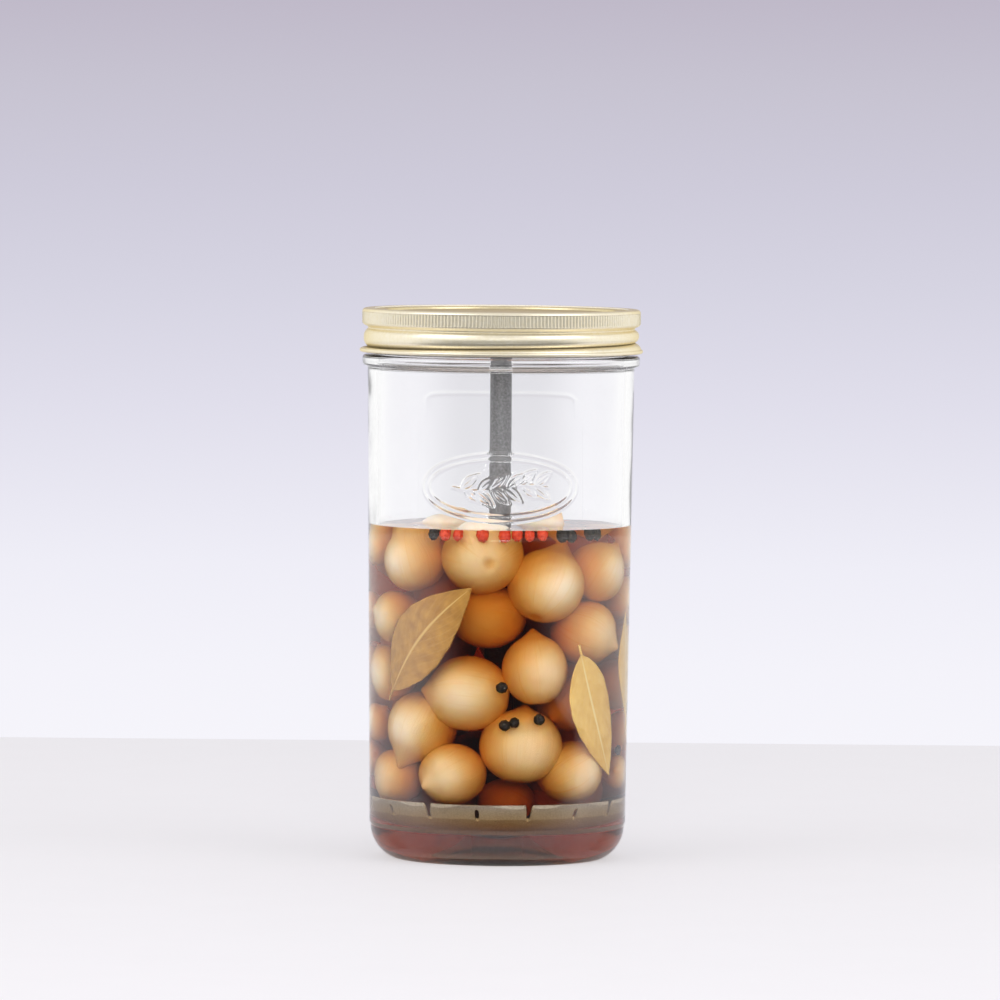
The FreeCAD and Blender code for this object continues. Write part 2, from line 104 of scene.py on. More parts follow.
class Graph:
    """A node tree being built: one way to add any node, and short forms of the usual ones."""

    def __init__(self, tree: bpy.types.NodeTree) -> None:
        """Start on a tree, and empty it."""
        self.tree = tree
        tree.nodes.clear()

    def add(self, kind: str, settings: dict[str, Any] | None = None,
            inputs: dict[str | int, Any] | None = None) -> bpy.types.Node:
        """Add a node, set it up and link it.

        Args:
            kind: the node's type name.
            settings: attributes of the node.
            inputs: values or output sockets for its inputs, by name or number.

        Returns:
            The new node.
        """
        node = self.tree.nodes.new(kind)
        for name, setting in (settings or {}).items():
            setattr(node, name, setting)
        for key, given in (inputs or {}).items():
            if isinstance(given, Socket):
                self.tree.links.new(given, node.inputs[key])
            else:
                node.inputs[key].default_value = given
        return node

    def math(self, operation: str, *values: Any) -> Socket:
        """Combine numbers by a Math node."""
        return self.add("ShaderNodeMath", {"operation": operation}, dict(enumerate(values))).outputs[0]

    def vector(self, operation: str, *values: Any, output: str = "Vector", **named: Any) -> Socket:
        """Combine vectors by a Vector Math node."""
        inputs = {**dict(enumerate(values)), **named}
        return self.add("ShaderNodeVectorMath", {"operation": operation}, inputs).outputs[output]

    def split(self, vector: Socket) -> bpy.types.NodeOutputs:
        """The X, Y and Z of a vector."""
        return self.add("ShaderNodeSeparateXYZ", inputs={0: vector}).outputs

    def place(self) -> Socket:
        """The shaded point in the object's own metres."""
        return self.add("ShaderNodeTexCoord").outputs["Object"]

    def attribute(self, name: str, output: str) -> Socket:
        """An attribute of the mesh."""
        return self.add("ShaderNodeAttribute", {"attribute_name": name}).outputs[output]

    def noise(self, width_mm: float, detail: float = 2.0) -> Socket:
        """A soft noise whose patches are about as wide as given."""
        return self.add("ShaderNodeTexNoise", inputs={
            "Vector": self.place(), "Scale": 1 / (width_mm * MM), "Detail": detail}).outputs["Fac"]

    def remap(self, value: Socket, low: float = 0.0, high: float = 1.0, to_low: float = 0.0,
              to_high: float = 1.0, smooth: bool = False) -> Socket:
        """Map one range of a value onto another, evenly or with eased ends."""
        settings = {"interpolation_type": "SMOOTHSTEP" if smooth else "LINEAR"}
        return self.add("ShaderNodeMapRange", settings, {
            "Value": value, "From Min": low, "From Max": high,
            "To Min": to_low, "To Max": to_high}).outputs[0]

    def ramp(self, source: Socket, *stops: tuple[float, str]) -> Socket:
        """Colour a value by a ramp of hex colours.

        Args:
            source: the value.
            stops: position and hex colour of each stop.

        Returns:
            The colour.
        """
        node = self.add("ShaderNodeValToRGB", inputs={0: source})
        elements = node.color_ramp.elements
        while len(elements) < len(stops):
            elements.new(0.5)
        for element, (position, code) in zip(elements, stops):
            element.position = position
            element.color = linear(code)
        return node.outputs[0]

    def mix(self, share: Socket, first: Any, second: Any) -> Socket:
        """Mix two colours."""
        return self.add("ShaderNodeMix", {"data_type": "RGBA"}, {
            "Factor": share, 6: first, 7: second}).outputs[2]

    def mix_shaders(self, share: Socket, first: Socket, second: Socket) -> Socket:
        """Mix two shaders."""
        return self.add("ShaderNodeMixShader", inputs={0: share, 1: first, 2: second}).outputs[0]

    def bump(self, height: Socket, strength: float, depth_mm: float) -> Socket:
        """A bumped normal."""
        return self.add("ShaderNodeBump", inputs={
            "Height": height, "Strength": strength, "Distance": depth_mm * MM}).outputs[0]

    def principled(self, colour: Any, roughness: Any, inputs: dict[str, Any] | None = None) -> Socket:
        """A Principled shader with its colour, its roughness and whatever else it needs."""
        return self.add("ShaderNodeBsdfPrincipled", inputs={
            "Base Color": colour, "Roughness": roughness, **(inputs or {})}).outputs[0]

    def emission(self, colour: Any, strength: Any = 1.0) -> Socket:
        """A glowing surface."""
        return self.add("ShaderNodeEmission", inputs={"Color": colour, "Strength": strength}).outputs[0]

    def rays(self) -> bpy.types.NodeOutputs:
        """What kind of ray looks at the surface."""
        return self.add("ShaderNodeLightPath").outputs

    def clear(self, ior: float, tint: str, inputs: dict[str, Any] | None = None) -> Socket:
        """A clear refracting shader that lets lamplight through, so that what is inside is lit.

        Args:
            ior: its index of refraction.
            tint: hex colour of the light that it lets through.
            inputs: further inputs of the Principled shader.

        Returns:
            The shader.
        """
        bent = self.principled(linear("FFFFFF"), 0.0, {
            "IOR": ior, "Transmission Weight": 1.0, **(inputs or {})})
        straight = self.add("ShaderNodeBsdfTransparent", inputs={"Color": linear(tint)}).outputs[0]
        return self.mix_shaders(self.rays()["Is Shadow Ray"], bent, straight)


def geometry_graph(name: str, **kinds: str) -> tuple[Graph, bpy.types.NodeOutputs]:
    """Start a Geometry Nodes tree.

    Args:
        name: the tree's name.
        kinds: its inputs after the geometry, each with the kind of its socket.

    Returns:
        The tree being built and its inputs.
    """
    tree = bpy.data.node_groups.new(name, "GeometryNodeTree")
    for label, kind in {"Geometry": "Geometry", **kinds}.items():
        tree.interface.new_socket(label, in_out="INPUT", socket_type=f"NodeSocket{kind}")
    tree.interface.new_socket("Geometry", in_out="OUTPUT", socket_type="NodeSocketGeometry")
    graph = Graph(tree)
    return graph, graph.add("NodeGroupInput").outputs


def make_object(name: str, vertices: np.ndarray, faces: Sequence[Sequence[int]]) -> bpy.types.Object:
    """Make a smooth-shaded object at the origin from vertices in millimetres.

    Args:
        name: the piece's name.
        vertices: one row of three for each vertex.
        faces: vertex numbers, counter-clockwise seen from outside.

    Returns:
        The object, linked to the scene.
    """
    mesh = bpy.data.meshes.new(name)
    mesh.from_pydata((np.asarray(vertices) * MM).tolist(), [], [list(face) for face in faces])
    mesh.polygons.foreach_set("use_smooth", [True] * len(mesh.polygons))
    mesh.update()
    piece = bpy.data.objects.new(name, mesh)
    bpy.context.scene.collection.objects.link(piece)
    return piece


def around(radius: Any, azimuth: Any, height: Any) -> np.ndarray:
    """Points from radius, azimuth in degrees and height.

    Args:
        radius: from the Z axis.
        azimuth: in degrees from the front.
        height: above the table.

    Returns:
        Points, with X, Y and Z last.
    """
    turn = np.radians(azimuth)
    radius, turn, height = np.broadcast_arrays(radius, turn, height)
    return np.stack([radius * np.sin(turn), -radius * np.cos(turn), height], axis=-1)


def turned_rings(profile: Sequence[Point2], azimuths: np.ndarray) -> np.ndarray:
    """Rings of vertices from a profile of radius and height."""
    return np.array([around(radius, azimuths, height) for radius, height in profile])


def arc(start: Point2, end: Point2, radius: float, turn: Turn, steps: int) -> list[Point2]:
    """Points along a circle arc in a profile, the first included and the last not.

    Args:
        start: where the arc starts.
        end: where it ends.
        radius: its radius.
        turn: which way it turns.
        steps: how many points.

    Returns:
        The points.
    """
    a, b = np.array(start), np.array(end)
    chord = b - a
    half = np.linalg.norm(chord) / 2
    rise = math.sqrt(max(radius ** 2 - half ** 2, 0.0))
    side = np.array([-chord[1], chord[0]]) / (2 * half)
    centre = (a + b) / 2 + side * rise * turn.value
    first = math.atan2(*(a - centre)[::-1])
    sweep = 2 * math.asin(min(half / radius, 1.0)) * turn.value
    angles = first + sweep * np.arange(steps) / steps
    return [(centre[0] + radius * math.cos(t), centre[1] + radius * math.sin(t)) for t in angles]


def ring_faces(rings: int, columns: int, first: int = 0, closed: bool = False) -> list[list[int]]:
    """Quads between rings of vertices that are stored one ring after another.

    Args:
        rings: how many rings.
        columns: points in each ring.
        first: number of the first vertex.
        closed: whether the last ring joins the first.

    Returns:
        The quads.
    """
    faces = []
    for ring in range(rings if closed else rings - 1):
        low, high = first + ring * columns, first + (ring + 1) % rings * columns
        for column in range(columns):
            after = (column + 1) % columns
            faces.append([low + column, low + after, high + after, high + column])
    return faces


def shell_faces(rings: int, columns: int, first: int = 0) -> list[list[int]]:
    """Faces of a closed shell: its rings, then the poles stored after them, start before end.

    Args:
        rings: how many rings.
        columns: points in each ring.
        first: number of the first vertex.

    Returns:
        Quads and the poles' triangles.
    """
    faces = ring_faces(rings, columns, first)
    start, last = first + rings * columns, first + (rings - 1) * columns
    for column in range(columns):
        after = (column + 1) % columns
        faces.append([start, first + after, first + column])
        faces.append([start + 1, last + column, last + after])
    return faces


def capped_shell(name: str, rings: np.ndarray, start: Sequence[float],
                 end: Sequence[float]) -> bpy.types.Object:
    """A closed shell of rings between two poles.

    Args:
        name: the piece's name.
        rings: vertices by ring and column.
        start: the pole before the first ring.
        end: the pole after the last ring.

    Returns:
        The object.
    """
    vertices = np.vstack([rings.reshape(-1, 3), [start], [end]])
    return make_object(name, vertices, shell_faces(*rings.shape[:2]))


def sheet_faces(rows: int, columns: int) -> list[list[int]]:
    """Faces of a thin closed sheet: its outer grid, its inner grid stored after it, and the rim.

    Args:
        rows: points along the sheet.
        columns: points across it.

    Returns:
        The quads.
    """
    faces = []
    layer = rows * columns
    for row in range(rows - 1):
        for a in range(row * columns, (row + 1) * columns - 1):
            b, c, d = a + 1, a + columns + 1, a + columns
            faces += [[a, b, c, d], [layer + a, layer + d, layer + c, layer + b]]
    rim = list(range(0, layer, columns)) + list(range(layer - columns + 1, layer))
    rim += list(range(layer - columns - 1, 0, -columns)) + list(range(columns - 2, 0, -1))
    faces += [[here, after, layer + after, layer + here] for here, after in zip(rim, rim[1:] + rim[:1])]
    return faces


def hoop(name: str, rings: np.ndarray) -> bpy.types.Object:
    """A closed hoop whose last ring joins its first."""
    return make_object(name, rings.reshape(-1, 3), ring_faces(*rings.shape[:2], closed=True))


def run_tree(piece: bpy.types.Object, tree: bpy.types.NodeTree, values: dict[str, Any]) -> bpy.types.Object:
    """Run a Geometry Nodes tree on a piece and keep only the mesh that it gives.

    Args:
        piece: the piece that it starts from, which goes.
        tree: the tree.
        values: its inputs by name.

    Returns:
        A plain piece of the same name with no modifier.
    """
    modifier = piece.modifiers.new(tree.name, "NODES")
    modifier.node_group = tree
    for item in tree.interface.items_tree:
        if item.in_out == "INPUT" and item.name in values:
            modifier[item.identifier] = values[item.name]
    piece.update_tag()
    bpy.context.view_layer.update()
    graph = bpy.context.evaluated_depsgraph_get()
    mesh = bpy.data.meshes.new_from_object(piece.evaluated_get(graph), depsgraph=graph)
    name = piece.name
    bpy.data.objects.remove(piece)
    plain = bpy.data.objects.new(name, mesh)
    mesh.name = name
    bpy.context.scene.collection.objects.link(plain)
    return plain


def dress(piece: bpy.types.Object, material: bpy.types.Material | None = None,
          replaces: Sequence[str] = ()) -> None:
    """Give a finished piece its material and body.

    Args:
        piece: the piece, with its place in its mesh.
        material: its material, if it has none yet.
        replaces: the nodes that it stands for.
    """
    if material is not None:
        piece.data.materials.clear()
        piece.data.materials.append(material)
    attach(piece, "root")
    if replaces:
        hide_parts(*replaces)
    LOG.info("%s: %d faces", piece.name, len(piece.data.polygons))


def refinish(node: bpy.types.Object, material: bpy.types.Material) -> None:
    """Give a carried-over solid a better material.

    Args:
        node: the solid's object.
        material: its new material.
    """
    for slot in node.material_slots:
        slot.material = material
    if not node.material_slots:
        node.data.materials.append(material)
    LOG.info("%s: refinished", node.name)


# ------------------------------------------------------------------------------- finishes


@dataclass(frozen=True)
class Finish:
    """A material that paints itself into an empty node tree."""

    name: str

    def paint(self, graph: Graph) -> dict[str, Socket]:
        """Add the nodes and return what goes into the output, by the name of its socket."""
        raise NotImplementedError

    def make(self) -> bpy.types.Material:
        """Build the material.

        Returns:
            The material.
        """
        material = bpy.data.materials.new(self.name)
        material.use_nodes = True
        graph = Graph(material.node_tree)
        graph.add("ShaderNodeOutputMaterial", inputs=self.paint(graph))
        return material


@dataclass(frozen=True)
class JarGlass(Finish):
    """Soda-lime glass, pressed and blown: clear and a little wavy."""

    name: str = "blown soda-lime glass"
    wave_mm: float = 22.0       # width of the ripples left by the mould
    wave_depth_mm: float = 0.25

    def paint(self, graph: Graph) -> dict[str, Socket]:
        """Clear glass with ripples."""
        ripples = graph.bump(graph.noise(self.wave_mm, 1.0), 1.0, self.wave_depth_mm)
        return {"Surface": graph.clear(1.5, "FDFDFD", {"Normal": ripples})}


@dataclass(frozen=True)
class SpicedVinegar(Finish):
    """Malt vinegar and water: clear, and more amber the deeper one looks into it."""

    name: str = "amber vinegar"
    colour: tuple[float, float, float] = (0.835, 0.595, 0.07)
    density: float = 160.0      # a centimetre is pale amber and the jar's width is brown

    def paint(self, graph: Graph) -> dict[str, Socket]:
        """A clear surface over a liquid that takes colour from the light."""
        depth = graph.add("ShaderNodeVolumeAbsorption", inputs={
            "Color": (*self.colour, 1.0), "Density": self.density})
        return {"Surface": graph.clear(1.345, "FFFFFF"), "Volume": depth.outputs[0]}


@dataclass(frozen=True)
class GoldLacquer(Finish):
    """Tinplate under baked pale gold lacquer: satin, with a soft roller-coated grain."""

    name: str = "gold-lacquered tinplate"
    pale: str = "FBF3DE"
    deep: str = "F6ECD0"
    worn: str = "5A4C26"        # painted shade along the opening's edge and deep in the thread's fold
    grain_mm: float = 1.2

    def paint(self, graph: Graph) -> dict[str, Socket]:
        """Lacquered metal, with painted shade where the mesh is marked as creased.

        Args:
            graph: the empty tree.

        Returns:
            What goes into the output.
        """
        grain = graph.noise(self.grain_mm, 4.0)
        colour = graph.ramp(grain, (0.3, self.deep), (0.7, self.pale))
        # painted shade: the crease mask darkens the lacquer in the thread's fold and at the opening's edge
        lined = graph.mix(graph.attribute("crease", "Fac"), colour, linear(self.worn))
        return {"Surface": graph.principled(lined, graph.remap(grain, to_low=0.29, to_high=0.31), {
            "Metallic": 0.85, "Specular Tint": linear("EBDFB8")})}


@dataclass(frozen=True)
class Mottled(Finish):
    """A plain dull or glossy coating with soft patches of two shades."""

    deep: str
    pale: str
    patch_mm: float
    roughness: float

    def paint(self, graph: Graph) -> dict[str, Socket]:
        """Two shades in soft patches."""
        colour = graph.ramp(graph.noise(self.patch_mm), (0.3, self.deep), (0.7, self.pale))
        return {"Surface": graph.principled(colour, self.roughness)}


@dataclass(frozen=True)
class SatinStainless(Finish):
    """Bead-blasted stainless steel: grey and matt, with a fine mottle."""

    name: str = "bead-blasted stainless steel"
    light: str = "ACACAE"
    dark: str = "88888A"
    grit_mm: float = 0.9
    metallic: float = 0.85

    def paint(self, graph: Graph) -> dict[str, Socket]:
        """Metal with a fine grit in its colour and its surface.

        Args:
            graph: the empty tree.

        Returns:
            What goes into the output.
        """
        grit = graph.noise(self.grit_mm, 5.0)
        colour = graph.ramp(grit, (0.3, self.dark), (0.7, self.light))
        return {"Surface": graph.principled(colour, 0.55, {
            "Metallic": self.metallic, "Normal": graph.bump(grit, 0.5, 0.03)})}


@dataclass(frozen=True)
class PeeledOnion(Finish):
    """A peeled onion soaked in vinegar: cream, waxy, with fine veins from root to tip."""

    name: str = "peeled pickled onion"
    pale: str = "FFF1E2"
    deep: str = "FCE4CA"
    vein: str = "F0D2A0"
    tip: str = "E8C08A"
    root: str = "ECCB98"
    vein_scale: tuple[float, float, float] = (17.0, 17.0, 1.4)      # many round the bulb, long along it

    def paint(self, graph: Graph) -> dict[str, Socket]:
        """Flesh, veins, tip and root by the mesh's own directions.

        Args:
            graph: the empty tree.

        Returns:
            What goes into the output.
        """
        skin = graph.attribute("skin", "Vector")
        along = graph.split(skin)["Z"]
        flesh = graph.ramp(graph.noise(14.0), (0.35, self.deep), (0.65, self.pale))
        apart = graph.vector("MULTIPLY_ADD", skin, self.vein_scale, graph.attribute("bulb", "Vector"))
        veins = graph.add("ShaderNodeTexNoise", inputs={
            "Vector": apart, "Scale": 1.0, "Detail": 3.0}).outputs["Fac"]
        colour = graph.mix(graph.remap(veins, 0.56, 0.72, to_high=0.45), flesh, linear(self.vein))
        colour = graph.mix(graph.remap(along, 0.86, 1.0, to_high=0.8), colour, linear(self.tip))
        colour = graph.mix(graph.remap(along, 0.045, 0.01, to_high=0.6), colour, linear(self.root))
        return {"Surface": graph.principled(colour, 0.38, {
            "Normal": graph.bump(veins, 0.5, 0.25), "Subsurface Weight": 0.35,
            "Subsurface Radius": (1.0, 0.6, 0.3), "Subsurface Scale": 3.0 * MM})}


@dataclass(frozen=True)
class DriedBayLeaf(Finish):
    """A dried bay leaf: matt olive-tan, mottled, with a pale midrib and side veins."""

    name: str = "dried bay leaf"
    blade: str = "C99A4A"
    shade: str = "A97B38"
    vein: str = "DDBE7C"
    side_veins: int = 11
    vein_sweep: float = -0.7

    def paint(self, graph: Graph) -> dict[str, Socket]:
        """Blade, midrib and side veins by the leaf's own map.

        Args:
            graph: the empty tree.

        Returns:
            What goes into the output.
        """
        blade = graph.split(graph.add("ShaderNodeUVMap", {"uv_map": "blade"}).outputs[0])
        mottle = graph.noise(3.5, 5.0)
        colour = graph.ramp(mottle, (0.3, self.shade), (0.7, self.blade))
        aside = graph.math("ABSOLUTE", graph.math("SUBTRACT", blade["Y"], 0.5))
        midrib = graph.remap(aside, 0.03, 0.012)
        sweep = graph.math("MULTIPLY_ADD", aside, self.vein_sweep, blade["X"])
        wave = graph.math("COSINE", graph.math("MULTIPLY", sweep, 2 * math.pi * self.side_veins))
        marks = graph.math("MAXIMUM", midrib, graph.remap(wave, 0.95, 1.0, to_high=0.3))
        relief = graph.math("MULTIPLY_ADD", marks, 1.0, mottle)
        return {"Surface": graph.principled(graph.mix(marks, colour, linear(self.vein)), 0.62, {
            "Normal": graph.bump(relief, 0.6, 0.15)})}


@dataclass(frozen=True)
class PepperSkin(Finish):
    """The skin of a soaked peppercorn: dark between its wrinkles, lighter on them."""

    crease: str
    ridge: str
    roughness: float

    def paint(self, graph: Graph) -> dict[str, Socket]:
        """Wrinkled skin whose shade differs from one corn to the next.

        Args:
            graph: the empty tree.

        Returns:
            What goes into the output.
        """
        wrinkles = graph.noise(0.8, 3.0)
        shade = graph.math("MULTIPLY_ADD", graph.noise(5.0), 0.5, wrinkles)
        colour = graph.ramp(shade, (0.5, self.crease), (0.95, self.ridge))
        return {"Surface": graph.principled(colour, self.roughness, {
            "Normal": graph.bump(wrinkles, 0.6, 0.2)})}


def mirrored(graph: Graph, rays: bpy.types.NodeOutputs, share: Socket) -> Socket:
    """Keep a share for rays that a polished surface has turned back, and none for the others.

    Args:
        graph: the tree.
        rays: the Light Path's outputs.
        share: what is kept.

    Returns:
        The share, or nothing.
    """
    turned = graph.math("MINIMUM", rays["Glossy Depth"], rays["Is Glossy Ray"])
    return graph.math("MULTIPLY", turned, share)


@dataclass(frozen=True)
class TableLaminate(Finish):
    """Matt white laminate, with a painted dark reflection: polished surfaces see it dark in front of the
    jar.
    """

    name: str = "matt white laminate"
    own_light: float = 0.5      # share of a plain pale colour, for the camera alone
    flag: tuple[float, float, float] = (-0.06, -0.16, 0.93)     # y where it starts and ends, and share

    def paint(self, graph: Graph) -> dict[str, Socket]:
        """Laminate, partly evened out, with a painted dark reflection in front.

        Args:
            graph: the empty tree.

        Returns:
            What goes into the output.
        """
        colour = graph.ramp(graph.noise(30.0), (0.2, "EEEBF0"), (0.8, "F0EDF2"))
        rays = graph.rays()
        seen = graph.mix_shaders(graph.math("MULTIPLY", rays["Is Camera Ray"], self.own_light),
                                 graph.principled(colour, 0.6), graph.emission(linear("F1EFF1")))
        # painted reflection: rays turned back by polished surfaces see the table dark in front of the jar
        start, end, share = self.flag
        ahead = graph.remap(graph.split(graph.place())["Y"], start, end, to_high=share)
        dark = graph.emission(linear("FFFFFF"), 0.0)
        return {"Surface": graph.mix_shaders(mirrored(graph, rays, ahead), seen, dark)}


@dataclass(frozen=True)
class LilacPaper(Finish):
    """Seamless paper lit from below: lilac behind the jar and white elsewhere."""

    name: str = "seamless lilac paper"
    low: float = -0.25
    high: float = 0.35
    shades: tuple[tuple[float, str], ...] = (
        (0.0, "F6F5FB"), (0.12, "F4F3FA"), (0.25, "EFEEF7"), (0.46, "E0DEEB"), (0.6, "D6D4E2"),
        (0.73, "CECBDA"), (0.86, "C7C3D1"), (1.0, "BDB6C6"))
    lilac: Point2 = (8.0, 22.0)         # degrees from straight behind where it fades to white
    dusk: Point2 = (95.0, 150.0)        # degrees where reflections see it dim, low down
    dusk_height: Point2 = (0.55, 0.15)
    dimmed: float = 0.05
    cleared: float = 0.55               # how much whiter it is through glass

    def paint(self, graph: Graph) -> dict[str, Socket]:
        """A glow by height and bearing, dim for reflections low on the camera's side.

        Args:
            graph: the empty tree.

        Returns:
            What goes into the output.
        """
        place = graph.split(graph.place())
        behind = graph.ramp(graph.remap(place["Z"], self.low, self.high), *self.shades)
        bearing = graph.math("ABSOLUTE", graph.math("ARCTAN2", place["X"], place["Y"]))
        sideways = graph.remap(bearing, *np.radians(self.lilac), smooth=True)
        colour = graph.mix(sideways, behind, linear("FFFFFF"))
        aside = graph.remap(bearing, *np.radians(self.dusk), smooth=True)
        corner = graph.math("MULTIPLY", aside, graph.remap(place["Z"], *self.dusk_height, smooth=True))
        rays = graph.rays()
        strength = graph.remap(mirrored(graph, rays, corner), to_low=1.0, to_high=self.dimmed)
        through = graph.math("MULTIPLY", rays["Is Transmission Ray"], self.cleared)
        return {"Surface": graph.emission(graph.mix(through, colour, linear("FFFFFF")), strength)}


# ------------------------------------------------------------------------------ glass jar


@dataclass
class Relief:
    """Raised lines moulded on the outside of the glass, drawn on the unrolled wall.

    Each line is a run of points (across, height) in millimetres, and its ridge has a
    rounded section.
    """

    lines: list[np.ndarray] = field(default_factory=list)
    half_width: float = 0.42
    proud: float = 0.34

    def ellipse(self, centre: Point2, half_across: float, half_up: float, points: int = 240) -> None:
        """Add an ellipse."""
        turn = np.linspace(0, 2 * np.pi, points, endpoint=False)
        self.lines.append(np.stack([centre[0] + half_across * np.cos(turn),
                                    centre[1] + half_up * np.sin(turn)], axis=1))

    def leaf(self, root: Point2, heading: float, length: float, width: float) -> None:
        """Add a leaf's outline and its midrib, from its root in the direction of heading.

        Args:
            root: where it starts.
            heading: degrees from across, anticlockwise.
            length: its length.
            width: its greatest width.
        """
        along = np.linspace(0, 1, 40)
        side = 0.5 * width * np.sin(np.pi * along ** 0.85)
        turn = math.radians(heading)
        ahead = np.array([math.cos(turn), math.sin(turn)])
        beside = np.array([-math.sin(turn), math.cos(turn)])
        spine = np.asarray(root) + np.outer(along * length, ahead)
        self.lines.append(spine + np.outer(side, beside))
        self.lines.append(spine - np.outer(side, beside))
        self.lines.append(spine[:32])

    def rounded_frame(self, low: Point2, high: Point2, corner: float) -> None:
        """Add a rectangle with rounded corners.

        Args:
            low: its lower left corner.
            high: its upper right corner.
            corner: radius of its corners.
        """
        (x0, z0), (x1, z1) = low, high
        quarter = np.linspace(0, np.pi / 2, 16)
        runs = []
        for cx, cz, start in ((x1 - corner, z1 - corner, 0.0), (x0 + corner, z1 - corner, 0.5),
                              (x0 + corner, z0 + corner, 1.0), (x1 - corner, z0 + corner, 1.5)):
            turn = quarter + start * np.pi
            runs.append(np.stack([cx + corner * np.cos(turn), cz + corner * np.sin(turn)], axis=1))
        loop = np.vstack(runs + [runs[0][:1]])
        dense = [np.linspace(a, b, max(int(np.linalg.norm(b - a) / 0.25), 2), endpoint=False)
                 for a, b in zip(loop[:-1], loop[1:])]
        self.lines.append(np.vstack(dense))

    def height(self, across: np.ndarray, up: np.ndarray) -> np.ndarray:
        """How far the glass stands proud at each point, in millimetres.

        Args:
            across: distance round the wall from the middle, by point.
            up: height, by point.

        Returns:
            The height of the relief, by point.
        """
        points = np.vstack(self.lines)
        reach = 4 * self.half_width
        flat = np.stack([across.ravel(), up.ravel()], axis=1)
        low, high = points.min(axis=0) - reach, points.max(axis=0) + reach
        near = np.all((flat > low) & (flat < high), axis=1)
        result = np.zeros(len(flat))
        chosen = flat[near]
        nearest = np.full(len(chosen), 1e9)
        for block in np.array_split(points, max(len(points) // 200, 1)):
            gaps = np.linalg.norm(chosen[:, None, :] - block[None, :, :], axis=2).min(axis=1)
            nearest = np.minimum(nearest, gaps)
        result[near] = self.proud * np.exp(-(nearest / self.half_width) ** 2)
        return result.reshape(across.shape)


